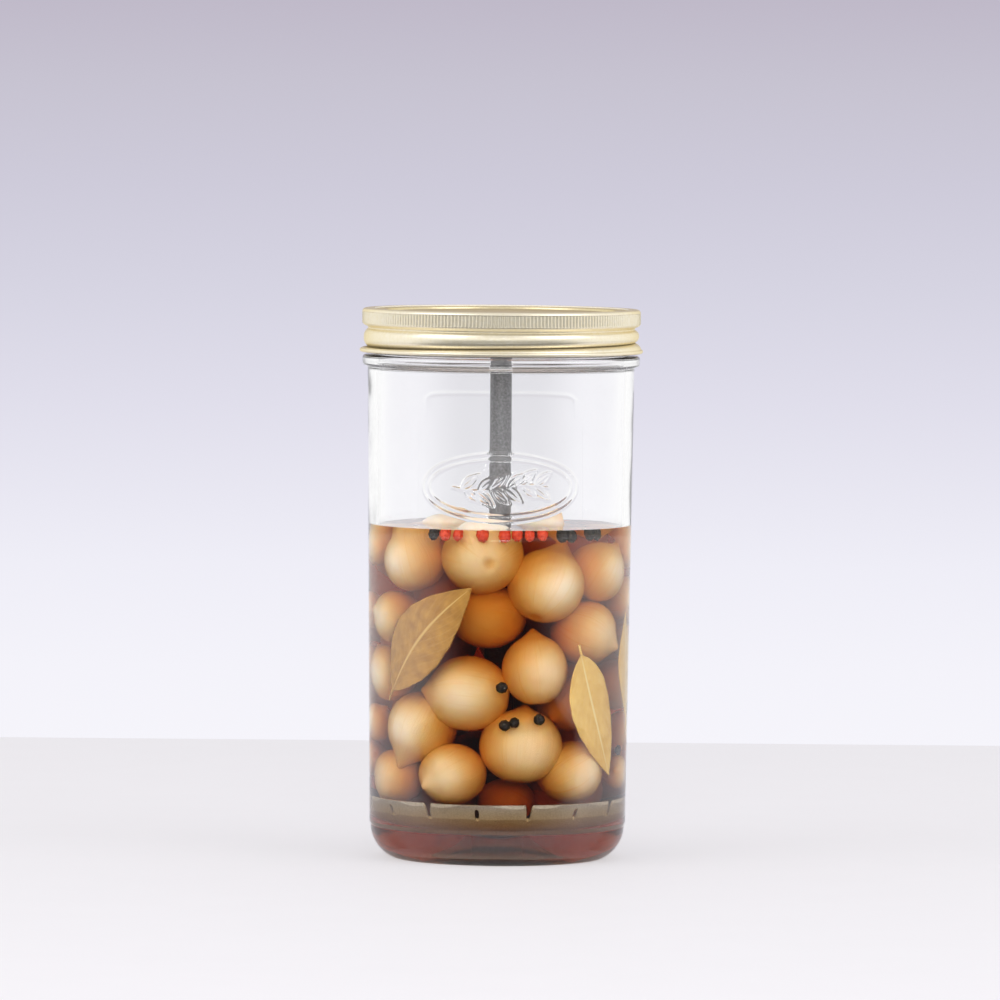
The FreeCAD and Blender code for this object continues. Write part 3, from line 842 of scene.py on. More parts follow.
@dataclass
class GlassJar:
    """The jar of blown glass, with a moulded medallion in front and a label panel behind."""

    height: float = 193.4
    body_radius: float = 47.4
    taper: float = 1.9
    wall: float = 3.4
    neck_step: float = 2.1
    neck_wall: float = 3.5
    neck_height: float = 14.8
    bead_stand: float = 1.9
    bead_height: float = 3.9
    shoulder_drop: float = 1.4
    throat_length: float = 5.4
    throat_rise: float = 3.8
    rim_round: float = 1.1
    seam_height: float = 12.4
    seam_step: float = 0.4
    heel_arc: float = 12.6
    heel_reach: float = 8.1
    rest_width: float = 2.8
    push_up: float = 3.0
    floor: float = 4.3
    inner_heel_arc: float = 10.0
    foot_seat: float = 9.5
    medallion_height: float = 133.6
    panel_half_angle: float = 42.0
    panel_foot: float = 46.0
    panel_top: float = 163.0

    @property
    def foot_radius(self) -> float:
        """Outside radius at the mould seam."""
        return self.body_radius - self.taper

    @property
    def shoulder(self) -> float:
        """Height where the straight body ends."""
        return self.height - self.neck_height - self.bead_height - self.shoulder_drop

    def outer_radius(self, height: Any) -> Any:
        """Outside radius of the straight body at a height."""
        share = (height - self.seam_height) / (self.shoulder - self.seam_height)
        return self.foot_radius + self.taper * share

    def inner_radius(self, height: float) -> float:
        """Inside radius of the body at a height above the heel.

        Args:
            height: above the heel.

        Returns:
            The radius.
        """
        low = self.floor + self.inner_heel_arc
        high = self.height - self.neck_height + self.throat_rise - self.throat_length
        share = (height - low) / (high - low)
        return self.foot_radius - self.wall + self.taper * min(max(share, 0.0), 1.0)

    def floor_profile(self, sink: float = 0.0) -> list[Point2]:
        """The inside from the foot seat out to the top of the heel.

        Args:
            sink: how far the profile lies inside the glass.

        Returns:
            Points of radius and height, from the middle outwards.
        """
        reach = self.foot_radius - self.wall
        heel = (reach - self.inner_heel_arc, self.floor - sink)
        top = (reach + sink, self.floor + self.inner_heel_arc)
        seat = self.floor + self.push_up - sink
        slope = [(self.foot_seat + (heel[0] - self.foot_seat) * t, seat + (heel[1] - seat) * t)
                 for t in (0.0, 0.35, 0.7)]
        return slope + arc(heel, top, self.inner_heel_arc + sink, Turn.LEFT, 14) + [top]

    @staticmethod
    def filled(fine: np.ndarray, even: np.ndarray, gap: float) -> np.ndarray:
        """Close places, with even ones between them where they leave a gap."""
        gaps = np.abs(even[:, None] - fine[None, :]).min(axis=1)
        return np.sort(np.concatenate([fine, even[gaps > gap]]))

    def columns(self) -> np.ndarray:
        """Azimuths of the mesh's columns, close together where there is moulding or a bright edge.

        Returns:
            Degrees, in rising order.
        """
        front = np.arange(-40, 40, 0.4)
        left = 180 - self.panel_half_angle
        right = 180 + self.panel_half_angle
        panel = np.concatenate([np.arange(left - 5, left + 12, 0.6), np.arange(right - 12, right + 5, 0.6)])
        sides = np.concatenate([np.arange(-104, -70, 1.0), np.arange(70, 104, 1.0)])
        fine = np.concatenate([front, sides, (panel + 180) % 360 - 180])
        return self.filled(fine, np.arange(-180, 180, 2.25), 0.8)

    def body_heights(self) -> np.ndarray:
        """Heights of the outer wall's rings, close together where there is moulding.

        Returns:
            Heights, in rising order.
        """
        medallion = np.arange(self.medallion_height - 14.5, self.medallion_height + 14.5, 0.33)
        edges = [np.arange(z - 1.8, z + 1.8, 0.45) for z in (self.panel_foot, self.panel_top)]
        fine = np.concatenate([medallion, *edges])
        return self.filled(fine, np.arange(self.seam_height + 4, self.shoulder, 4.5), 1.5)

    def medallion(self) -> Relief:
        """A plain oval medallion with a sprig of leaves.

        Returns:
            Its lines.
        """
        relief = Relief()
        centre = (0.0, self.medallion_height)
        relief.ellipse(centre, 29.0, 12.0)
        relief.ellipse(centre, 26.4, 9.8)
        stem = np.linspace(-17, 17, 140)
        bend, wave = 1.1, 5.5
        relief.lines.append(np.stack([stem, centre[1] + bend * np.sin(stem / wave)], axis=1))
        for number, place in enumerate((-14.0, -9.0, -4.0, 1.0, 6.0, 11.0)):
            side = 1 if number % 2 == 0 else -1
            root = (place, centre[1] + bend * math.sin(place / wave))
            relief.leaf(root, side * 38.0, 8.6, 3.4)
            relief.leaf((place + 1.5, root[1]), -side * 38.0, 7.4, 3.0)
        return relief

    def label_panel(self) -> Relief:
        """The frame of the bare label panel on the back.

        Returns:
            Its lines.
        """
        half = math.radians(self.panel_half_angle) * self.body_radius
        relief = Relief(half_width=0.6, proud=0.16)
        relief.rounded_frame((-half, self.panel_foot), (half, self.panel_top), 9.0)
        return relief

    def outer_profile(self) -> list[Point2]:
        """Radius and height from the underside's middle to the foot of the straight body.

        Returns:
            Points of radius and height.
        """
        rest_outer = self.foot_radius - self.heel_reach
        rest_inner = rest_outer - self.rest_width
        dome = [(rest_inner * t, self.push_up * (1 - t * t)) for t in (0.15, 0.35, 0.55, 0.75, 0.9, 0.98)]
        ring = [(rest_inner + 0.2, 0.0), (rest_outer - 0.2, 0.0)]
        step = (self.foot_radius - self.seam_step, self.seam_height - self.seam_step)
        heel = arc((rest_outer, 0.0), step, self.heel_arc, Turn.LEFT, 16)
        seam = [step, (self.foot_radius, self.seam_height),
                (self.foot_radius + 0.02, self.seam_height + 0.8)]
        return dome + ring + heel + seam

    def neck_profile(self) -> list[Point2]:
        """Radius and height from the shoulder over the rim and down the inside to the heel.

        Returns:
            Points of radius and height.
        """
        top = self.height - self.neck_height
        foot = top - self.bead_height
        bead = self.body_radius + self.bead_stand
        neck = self.body_radius - self.neck_step
        mouth = neck - self.neck_wall
        soft = self.bead_height / 3
        rim = self.rim_round
        throat_top = top + self.throat_rise
        throat = throat_top - self.throat_length
        # Close rings each side of a step keep its smooth shading off the plain wall
        points = [(self.outer_radius(self.shoulder - 0.4), self.shoulder - 0.4)]
        points += [(self.body_radius, self.shoulder), (self.body_radius + 0.03, self.shoulder + 0.5),
                   (self.body_radius + 0.12, self.shoulder + 0.9), (self.body_radius + 0.3, foot - 0.12)]
        points += arc((bead - soft, foot), (bead, foot + soft), soft, Turn.LEFT, 7)
        points += arc((bead, top - soft), (bead - soft, top), soft, Turn.LEFT, 7)
        points += [(bead - soft, top), (neck + 0.3, top), (neck, top + 0.3)]
        points += arc((neck, self.height - rim), (neck - rim, self.height), rim, Turn.LEFT, 6)
        points += [(neck - rim, self.height)]
        points += arc((mouth + rim, self.height), (mouth, self.height - rim), rim, Turn.LEFT, 6)
        points += [(mouth, self.height - rim), (mouth, throat_top + 1.0)]
        wider = self.body_radius - self.wall - mouth
        points += [(mouth + wider * (0.5 - 0.5 * math.cos(math.pi * t)),
                    throat_top + (throat - throat_top) * t) for t in np.linspace(0.05, 1.0, 9)]
        inside = [throat - 0.3, throat - 1.2]
        inside += list(np.arange(throat - 6, self.floor + self.inner_heel_arc + 3, -6.5))
        return points + [(self.inner_radius(z), z) for z in inside]

    def build(self, finish: JarGlass) -> None:
        """Make the jar's mesh and dress it.

        Args:
            finish: the glass.
        """
        azimuths = self.columns()
        heights = self.body_heights()
        wall = around(self.outer_radius(heights)[:, None], azimuths[None, :], heights[:, None])
        proud = np.zeros(wall.shape[:2])
        for relief, turned in ((self.medallion(), azimuths), (self.label_panel(), azimuths % 360 - 180)):
            across, up = np.meshgrid(np.radians(turned) * self.body_radius, heights)
            proud = proud + relief.height(across, up)
        wall = wall + around(1.0, azimuths, 0.0)[None, :, :] * proud[:, :, None]
        lower = turned_rings(self.outer_profile(), azimuths)
        upper = turned_rings(self.neck_profile() + self.floor_profile()[::-1], azimuths)
        rings = np.concatenate([lower, wall, upper])
        jar = capped_shell("jar_glass", rings, (0, 0, self.push_up), (0, 0, self.floor + self.push_up))
        dress(jar, finish.make(), replaces=["glass_jar"])


# ------------------------------------------------------------------------------------ lid


def knurl_tree(collar: float) -> bpy.types.NodeTree:
    """A Geometry Nodes tree that rolls upright flutes into a collar.

    Args:
        collar: the collar's radius in millimetres.

    Returns:
        A tree with the inputs Flutes, Depth, Low, High, Material and Lining.
    """
    graph, given = geometry_graph("Knurl", Flutes="Float", Depth="Float", Low="Float", High="Float",
                                  Material="Material", Lining="Material")
    place = graph.split(graph.add("GeometryNodeInputPosition").outputs[0])
    turn = graph.math("ARCTAN2", place["X"], place["Y"])
    wave = graph.math("COSINE", graph.math("MULTIPLY", turn, given["Flutes"]))
    flat = graph.add("ShaderNodeCombineXYZ", inputs={"X": place["X"], "Y": place["Y"]}).outputs[0]
    outward = graph.vector("NORMALIZE", flat)
    radius = graph.vector("LENGTH", flat, output="Value")
    on_collar = graph.math("MULTIPLY", graph.math("GREATER_THAN", place["Z"], given["Low"]),
                           graph.math("LESS_THAN", place["Z"], given["High"]))
    outside = graph.math("GREATER_THAN", radius, (collar - 0.25) * MM)
    depth = graph.math("MULTIPLY", graph.remap(wave, -0.7, 0.7), given["Depth"])
    sunk = graph.math("MULTIPLY", graph.math("MULTIPLY", depth, -1.0),
                      graph.math("MULTIPLY", on_collar, outside))
    moved = graph.add("GeometryNodeSetPosition", inputs={
        "Geometry": given["Geometry"], "Offset": graph.vector("SCALE", outward, Scale=sunk)})
    real = graph.add("GeometryNodeRealizeInstances", inputs={0: moved.outputs[0]})
    lacquered = graph.add("GeometryNodeSetMaterial", inputs={
        "Geometry": real.outputs[0], "Material": given["Material"]})
    normal = graph.add("GeometryNodeInputNormal").outputs[0]
    facing = graph.vector("DOT_PRODUCT", normal, outward, output="Value")
    inner = graph.math("MULTIPLY", graph.math("LESS_THAN", radius, (collar - 0.3) * MM),
                       graph.math("LESS_THAN", facing, -0.2))
    lined = graph.add("GeometryNodeSetMaterial", inputs={
        "Geometry": lacquered.outputs[0], "Selection": inner, "Material": given["Lining"]})
    graph.add("NodeGroupOutput", inputs={0: lined.outputs[0]})
    return graph.tree


def paired(radius: np.ndarray, height: np.ndarray) -> np.ndarray:
    """Radius and height side by side, by ring and column."""
    return np.stack(np.broadcast_arrays(radius, height), axis=-1)


def even_rings(profile: Sequence[Point2], azimuths: np.ndarray) -> np.ndarray:
    """A profile that is the same at every column."""
    return np.repeat(np.array(profile)[:, None, :], len(azimuths), axis=1)


@dataclass
class ScrewLid:
    """The lid: a sealing ring, a pressed disc and a screw band rolled from thin sheet."""

    rim_height: float = 193.4
    seal_top: float = 194.1
    seal_inner: float = 41.6
    seal_outer: float = 46.1
    disc_radius: float = 47.5
    disc_sheet: float = 0.4
    panel_radius: float = 40.4
    panel_drop: float = 0.9
    top: float = 195.0
    sheet: float = 0.5
    opening: float = 45.0
    collar_radius: float = 49.4
    collar_low: float = 189.9
    collar_high: float = 193.8
    groove_radius: float = 47.25
    groove_height: float = 187.9
    start_height: float = 182.1     # the rolled thread's height at the front
    pitch: float = 5.1
    thread_start: float = -55.0     # azimuths of the climb, and how far it takes to sink back
    thread_end: float = 165.0
    thread_return: float = 90.0
    bulge: float = 1.6
    hem_radius: float = 50.28
    hem_round: float = 0.7
    foot: float = 179.5
    flutes: int = 236
    flute_depth: float = 0.44
    columns: int = 944

    def thread_height(self, azimuths: np.ndarray) -> np.ndarray:
        """Height of the rolled thread's groove, which climbs round the front and sinks back behind.

        Args:
            azimuths: the columns.

        Returns:
            A height for each column.
        """
        turn = (azimuths - self.thread_start) % 360 + self.thread_start
        behind = np.clip((turn - self.thread_end) / self.thread_return, 0, 1)
        sunk = (self.thread_end - self.thread_start) * behind ** 2 * (3 - 2 * behind)
        climb = np.minimum(turn, self.thread_end) - sunk
        return self.start_height + self.pitch * climb / 360

    def outer_rings(self, azimuths: np.ndarray) -> np.ndarray:
        """Radius and height of the band's outer face, from the top's opening down to the hem.

        Args:
            azimuths: the columns.

        Returns:
            An array of rings, columns and (radius, height).
        """
        shoulder = arc((self.collar_radius, self.collar_high), (self.collar_radius - 1.2, self.top),
                       1.2, Turn.LEFT, 6)
        fixed = [(self.opening, self.top - 0.1), (self.opening, self.top - 0.05),
                 (self.opening + 0.05, self.top), (self.opening + 0.1, self.top)]
        fixed += [(self.opening + 1.6, self.top), (self.collar_radius - 1.2, self.top)] + shoulder[:0:-1]
        high, low = self.collar_high, self.collar_low
        fixed += [(self.collar_radius, high - z) for z in (0, 0.05, 0.12, 0.5, 1.2, 2.0)]
        fixed += [(self.collar_radius, low + z) for z in (1.0, 0.35, 0.1, 0.02)]
        fixed += [(self.collar_radius - 0.15, low - 0.25), (self.collar_radius - 0.6, low - 0.75),
                  (self.groove_radius + 0.45, self.groove_height + 0.75),
                  (self.groove_radius + 0.12, self.groove_height + 0.3),
                  (self.groove_radius, self.groove_height)]
        thread = self.thread_height(azimuths)
        share = np.array([0.03, 0.07, 0.13, 0.22, 0.33, 0.45, 0.56, 0.67,
                          0.78, 0.87, 0.93, 0.97, 1.0])[:, None]
        swell = self.groove_radius + self.bulge * (1 - np.abs(2 * share - 1) ** 2.8)
        bead = paired(swell, self.groove_height + share * (thread - self.groove_height))
        hem_centre = (self.hem_radius - self.hem_round, self.foot + self.hem_round)
        share = np.array([0.03, 0.09, 0.2, 0.34, 0.5, 0.7, 0.88])[:, None]
        flare = self.groove_radius + (hem_centre[0] - self.groove_radius) * (1 - (1 - share) ** 2.2)
        skirt = paired(flare, thread + share * (hem_centre[1] + self.hem_round - thread))
        curl = np.radians(np.linspace(90, -150, 12))
        hem = np.array(hem_centre) + self.hem_round * np.stack([np.cos(curl), np.sin(curl)], axis=1)
        return np.concatenate([even_rings(fixed, azimuths), bead, skirt, even_rings(hem, azimuths)])

    def inner_rings(self, azimuths: np.ndarray) -> np.ndarray:
        """Radius and height of the band's inner face, from the hem up to the opening.

        Args:
            azimuths: the columns.

        Returns:
            An array of rings, columns and (radius, height).
        """
        thread = self.thread_height(azimuths)
        share = np.array([0.0, 0.2, 0.5, 0.8, 1.0])[:, None]
        swell = self.groove_radius - self.sheet + self.bulge * (1 - np.abs(2 * share - 1) ** 2.4)
        bead = paired(swell, thread + share * (self.groove_height - thread))
        low = [(self.hem_radius - 2.1 * self.hem_round, self.foot + self.hem_round + 0.35)]
        inner, under = self.collar_radius - self.sheet, self.top - self.sheet
        high = [(inner, self.collar_low), (inner, self.collar_high - 0.6), (inner - 0.6, under),
                (self.opening + 0.2, under), (self.opening, self.top - 0.45)]
        return np.concatenate([even_rings(low, azimuths), bead, even_rings(high, azimuths)])

    def build_band(self, material: bpy.types.Material, lining: bpy.types.Material) -> None:
        """Make the screw band and roll its knurling.

        Args:
            material: outside.
            lining: inside.
        """
        azimuths = np.arange(self.columns) * 360 / self.columns
        profile = np.concatenate([self.outer_rings(azimuths), self.inner_rings(azimuths)])[::-1]
        rings = around(profile[..., 0], azimuths[None, :], profile[..., 1])
        band = hoop("lid_band", rings)
        self.mark_creases(band, profile)
        band = run_tree(band, knurl_tree(self.collar_radius), {
            "Flutes": float(self.flutes), "Depth": self.flute_depth * MM,
            "Low": self.collar_low * MM, "High": (self.collar_high - 0.02) * MM,
            "Material": material, "Lining": lining})
        dress(band, replaces=["screw_band"])

    def mark_creases(self, band: bpy.types.Object, profile: np.ndarray) -> None:
        """Mark the band's cut edge and the bottom of its thread's fold, where the lacquer gets painted
        shade.

        Args:
            band: the band before it is knurled.
            profile: radius and height by ring and column, in the order of its vertices.
        """
        rings, columns = profile.shape[:2]
        azimuths = np.arange(columns) * 360 / columns
        drop = profile[..., 1] - self.thread_height(azimuths)[None, :]
        # painted shade mask: 1 deep in the thread's fold and at the opening's edge
        fold = np.clip(1 - np.abs(drop) / 0.28, 0, 1) * (profile[..., 0] >= self.groove_radius - 0.01)
        edge = (profile[..., 0] < self.opening + 0.01).astype(float)
        attribute = band.data.attributes.new("crease", "FLOAT", "POINT")
        attribute.data.foreach_set("value", np.maximum(fold, edge).ravel())

    def build_disc(self, material: bpy.types.Material, lining: bpy.types.Material) -> None:
        """Make the disc, with a raised edge and two concentric beads pressed into its panel.

        Args:
            material: on top.
            lining: underneath.
        """
        radii = np.concatenate([np.arange(1.5, 27, 1.5), np.arange(27, 40.2, 0.4),
                                np.arange(40.3, 41.4, 0.1), [42.0, 44.5, 46.5, 47.2]])
        crown = self.seal_top + self.disc_sheet
        drop = self.panel_drop / (1 + np.exp((radii - self.panel_radius - 0.45) / 0.07))
        for place, rise in ((37.6, 0.28), (28.5, 0.22)):
            drop = drop - rise * np.exp(-((radii - place) / 0.8) ** 2)
        upper = [(r, crown - d) for r, d in zip(radii, drop)] + [(self.disc_radius - 0.03, crown - 0.1)]
        lower = [(r, z - self.disc_sheet) for r, z in reversed(upper[:-1])]
        lower[0] = (self.disc_radius - 0.15, self.seal_top)
        rings = turned_rings((upper + lower)[::-1], np.arange(180) * 2.0)
        bottom, head = lower[-1][1], upper[0][1]
        disc = capped_shell("lid_disc_pressed", rings, (0, 0, bottom), (0, 0, head))
        dress(disc, material, replaces=["lid_disc"])
        disc.data.materials.append(lining)
        for polygon in disc.data.polygons:
            polygon.material_index = 1 if polygon.normal.z < -0.2 else 0

    def build_seal(self, material: bpy.types.Material) -> None:
        """Make the sealing ring, with its edges rounded.

        Args:
            material: the compound.
        """
        low, high, soft = self.rim_height, self.seal_top, 0.2
        inner, outer = self.seal_inner, self.seal_outer
        profile = []
        for start, end in (((outer - soft, low), (outer, low + soft)),
                           ((outer, high - soft), (outer - soft, high)),
                           ((inner + soft, high), (inner, high - soft)),
                           ((inner, low + soft), (inner + soft, low))):
            profile += arc(start, end, soft, Turn.LEFT, 3)
        seal = hoop("lid_seal", turned_rings(profile, np.arange(240) * 1.5))
        dress(seal, material, replaces=["sealing_ring"])


# ------------------------------------------------------------------------------ contents


@dataclass(frozen=True)
class Onion:
    """One peeled onion: a round bulb that tapers to a tip."""

    centre: tuple[float, float, float]
    radius: float
    lean: float = 0.0           # tip away from upright, degrees
    turn: float = 0.0           # azimuth of the lean from +X, anticlockwise, degrees
    neck: float = 33.0          # half angle over which the bulb runs into its tip
    stretch: float = 1.0        # height to width

    def profile(self, rows: int) -> np.ndarray:
        """Distance from the axis and height along it, from the root to the tip.

        Args:
            rows: how many rings it gets.

        Returns:
            Points of (distance, height).
        """
        neck = math.radians(self.neck)
        polar = np.linspace(math.pi, neck, int(rows * 0.74), endpoint=False)[1:]
        bulb = np.stack([np.sin(polar), np.cos(polar)], axis=1)
        start = np.array([math.sin(neck), math.cos(neck)])
        end = np.array([0.1, start[1] + (start[0] - 0.1) * math.tan(neck)])
        along = np.linspace(0, 1, rows - len(bulb) - 2)[:, None]
        cone = start + (end - start) * along
        cone[:, 0] -= 0.10 * start[0] * np.sin(math.pi * along[:, 0]) * math.sin(neck)
        cap = np.array([[0.065, end[1] + 0.035], [0.03, end[1] + 0.045]])
        shape = np.vstack([bulb, cone, cap])
        shape[:, 1] += np.where(shape[:, 1] < 0, 0.07 * np.exp(-(shape[:, 0] / 0.16) ** 2), 0.0)
        shape[:, 1] *= self.stretch
        return shape * self.radius

    def rings(self, rows: int, columns: int,
              chance: np.random.Generator) -> tuple[np.ndarray, np.ndarray]:
        """Vertices by ring and column, and the poles.

        Args:
            rows: rings from the root to the tip.
            columns: points in each ring.
            chance: where the unevenness comes from.

        Returns:
            The rings, and the root and tip poles.
        """
        profile = self.profile(rows)
        angle = np.arange(columns) * 2 * math.pi / columns
        phases = chance.uniform(0, 2 * math.pi, 6)
        sizes = chance.uniform(0.4, 1.0, 6) * np.array([0.022, 0.014, 0.009, 0.006, 0.004, 0.003])
        lumps = sum(size * np.cos((number + 1) * angle + phase)
                    for number, (size, phase) in enumerate(zip(sizes, phases), start=1))
        height = profile[:, 1] / self.radius
        fade = np.clip(1 - height ** 2 * 0.5, 0.3, 1.0)
        across = profile[:, 0][:, None] * (1 + fade[:, None] * lumps[None, :])
        local = np.stack([across * np.cos(angle), across * np.sin(angle),
                          np.broadcast_to(profile[:, 1][:, None], across.shape)], axis=-1)
        bend = chance.uniform(-0.05, 0.05, 2) * self.radius
        local[..., :2] += (np.clip(local[..., 2:3] / self.radius, 0, 2) ** 2) * bend
        poles = np.array([[0, 0, profile[0, 1] + 0.004 * self.radius],
                          [0, 0, profile[-1, 1] + 0.008 * self.radius]])
        poles[1, :2] = (profile[-1, 1] / self.radius) ** 2 * bend
        place = self.placement()
        turned = local.reshape(-1, 3) @ place[:3, :3].T + place[:3, 3]
        return turned.reshape(local.shape), poles @ place[:3, :3].T + place[:3, 3]

    def placement(self) -> np.ndarray:
        """The onion's place and turn as a matrix."""
        matrix = Matrix.Translation(self.centre) @ Matrix.Rotation(math.radians(self.turn), 4, "Z")
        return np.array(matrix @ Matrix.Rotation(math.radians(self.lean), 4, "Y"))


def make_onions(name: str, onions: Sequence[Onion], rows: int, columns: int,
                seed: int) -> bpy.types.Object:
    """Make one piece of many onions, with its own directions for the veins.

    Args:
        name: the piece's name.
        onions: the onions.
        rows: rings of each.
        columns: points in each ring.
        seed: seed of their unevenness.

    Returns:
        The piece, with the attributes "skin" and "bulb".
    """
    chance = np.random.default_rng(seed)
    vertices, faces, skin, bulb = [], [], [], []
    angle = np.arange(columns) * 2 * math.pi / columns
    for number, onion in enumerate(onions):
        first = sum(len(part) for part in vertices)
        rings, poles = onion.rings(rows, columns, chance)
        count = len(rings)
        vertices.append(np.vstack([rings.reshape(-1, 3), poles]))
        faces += shell_faces(count, columns, first)
        share = np.repeat(np.linspace(0, 1, count), columns)
        turn = np.tile(angle, count)
        skin.append(np.stack([np.cos(turn), np.sin(turn), share], axis=1))
        skin.append(np.array([[0.0, 0.0, 0.0], [0.0, 0.0, 1.0]]))
        bulb.append(np.full(count * columns + 2, float(number)))
    piece = make_object(name, np.vstack(vertices), faces)
    attribute = piece.data.attributes.new("skin", "FLOAT_VECTOR", "POINT")
    attribute.data.foreach_set("vector", np.vstack(skin).ravel())
    attribute = piece.data.attributes.new("bulb", "FLOAT", "POINT")
    attribute.data.foreach_set("value", np.concatenate(bulb))
    return piece


@dataclass
class OnionPile:
    """The onions: some placed one by one along the front, the rest settled behind them."""

    jar: GlassJar
    plate_floor: float = 12.4
    bowl_start: float = 20.0
    bowl_rise: float = 10.0
    hidden: int = 18
    seed: int = 33
    clearance: float = 1.2
    front: tuple[Onion, ...] = (
        Onion((-26.6, -17.1, 106.7), 10.9, 20, 200, 30),
        Onion((15.1, -25.1, 98.6), 12.6, 32, 60, 46, 1.05),
        Onion((29.9, -11.0, 102.8), 10.6, 35, 30, 30),
        Onion((-31.0, -9.7, 86.1), 9.4, 75, 170, 30),
        Onion((-3.3, -20.5, 87.4), 11.6, 80, 200, 34),
        Onion((26.4, -14.4, 81.4), 11.4, 115, 10, 36),
        Onion((11.8, -27.9, 68.9), 10.7, 8, 140, 34, 1.16),
        Onion((-9.5, -26.0, 60.5), 13.4, 84, 178, 30),
        Onion((-32.4, -6.9, 66.0), 9.2, 30, 120, 30, 1.1),
        Onion((-23.8, -17.8, 47.9), 12.0, 155, 185, 44, 1.04),
        Onion((7.3, -26.5, 41.9), 13.1, 10, 60, 28),
        Onion((20.5, -12.5, 56.0), 9.6, 120, 250, 34),
        Onion((-14.4, -26.0, 31.8), 11.0, 110, 210, 34),
        Onion((22.7, -19.3, 32.4), 11.2, 60, 20, 30),
        Onion((-30.2, -9.2, 29.4), 9.6, 160, 160, 38),
        Onion((32.2, 3.5, 62.0), 8.8, 60, 80, 30),
    )
    sides: tuple[Onion, ...] = (
        Onion((-36.4, -2.0, 110.2), 6.5, 20, 40, 32),
        Onion((-35.6, 5.8, 87.5), 6.5, 70, 60, 34),
        Onion((-34.6, 9.2, 68.0), 6.9, 130, 200, 32),
        Onion((-35.6, -0.5, 48.0), 6.7, 40, 300, 36),
        Onion((-34.9, 6.5, 35.0), 6.6, 100, 80, 32),
        Onion((36.0, 4.5, 109.5), 6.5, 30, 120, 34),
        Onion((34.4, 3.5, 92.5), 7.7, 110, 330, 32),
        Onion((34.6, 6.5, 77.0), 5.8, 60, 90, 36),
        Onion((33.6, 4.5, 45.2), 7.2, 150, 10, 32),
        Onion((35.4, -2.5, 31.0), 6.0, 80, 280, 34),
        Onion((2.5, -13.0, 21.6), 8.2, 60, 200, 36),
    )
    floating: tuple[Onion, ...] = (
        Onion((-5.5, -27.3, 108.9), 13.2, 80, 100, 40),
        Onion((-20.0, 8.0, 109.0), 12.6, 25, 0, 40),
        Onion((13.4, 11.5, 108.7), 13.1, 32, 350, 40),
    )

    def settle(self) -> list[Onion]:
        """Push the hidden onions apart until they touch nothing.

        Returns:
            The hidden onions.
        """
        chance = np.random.default_rng(self.seed)
        placed = self.front + self.sides + self.floating
        fixed = np.array([onion.centre for onion in placed])
        fixed_radii = np.array([onion.radius * 1.02 for onion in placed])
        radii = chance.uniform(10.4, 13.2, self.hidden)
        turn = chance.uniform(0, 2 * math.pi, self.hidden)
        reach = chance.uniform(8, 30, self.hidden)
        places = np.stack([reach * np.cos(turn), reach * np.sin(turn) + 6,
                           np.linspace(30, 104, self.hidden)], axis=1)
        for _ in range(900):
            everyone = np.vstack([places, fixed])
            sizes = np.concatenate([radii, fixed_radii])
            apart = places[:, None, :] - everyone[None, :, :]
            gaps = np.linalg.norm(apart, axis=2) + 1e-6
            overlap = np.clip(radii[:, None] + sizes[None, :] - gaps, 0, None)
            overlap[np.arange(self.hidden), np.arange(self.hidden)] = 0
            pushes = np.sum(apart / gaps[..., None] * overlap[..., None], axis=1)
            places = places + 0.45 * pushes / 1.5
            flat = np.linalg.norm(places[:, :2], axis=1) + 1e-6
            rod = np.clip(radii + ROD_RADIUS + 0.5 - flat, 0, None)
            places[:, :2] += places[:, :2] / flat[:, None] * rod[:, None]
            flat = np.linalg.norm(places[:, :2], axis=1) + 1e-6
            wall = np.array([self.jar.inner_radius(z) for z in places[:, 2]]) - self.clearance
            over = np.clip(flat + radii - wall, 0, None)
            places[:, :2] -= places[:, :2] / flat[:, None] * over[:, None]
            bowl = self.bowl_rise * np.clip((flat + 0.6 * radii - self.bowl_start) / 20, 0, 1) ** 2
            places[:, 2] = np.clip(places[:, 2] - 0.02, self.plate_floor + bowl + radii,
                                   FILL_LEVEL - 1.5 - radii)
        return [Onion(tuple(place), radius, chance.uniform(0, 170), chance.uniform(0, 360),
                      chance.uniform(28, 42), chance.uniform(0.97, 1.1))
                for place, radius in zip(places, radii * 0.985)]

    def build(self, material: bpy.types.Material) -> None:
        """Make the sunk onions as one piece and each floating one as its own.

        Args:
            material: the onions' skin.
        """
        heap = [*self.front, *self.sides, *self.settle()]
        sunk = make_onions("sunk_onions", heap, rows=42, columns=52, seed=3)
        dress(sunk, material)
        for number, onion in enumerate(self.floating, start=1):
            piece = make_onions(f"floating_onion_{number}", [onion], rows=96, columns=128, seed=40 + number)
            dress(piece, material, replaces=[f"top_onion_{number}"])


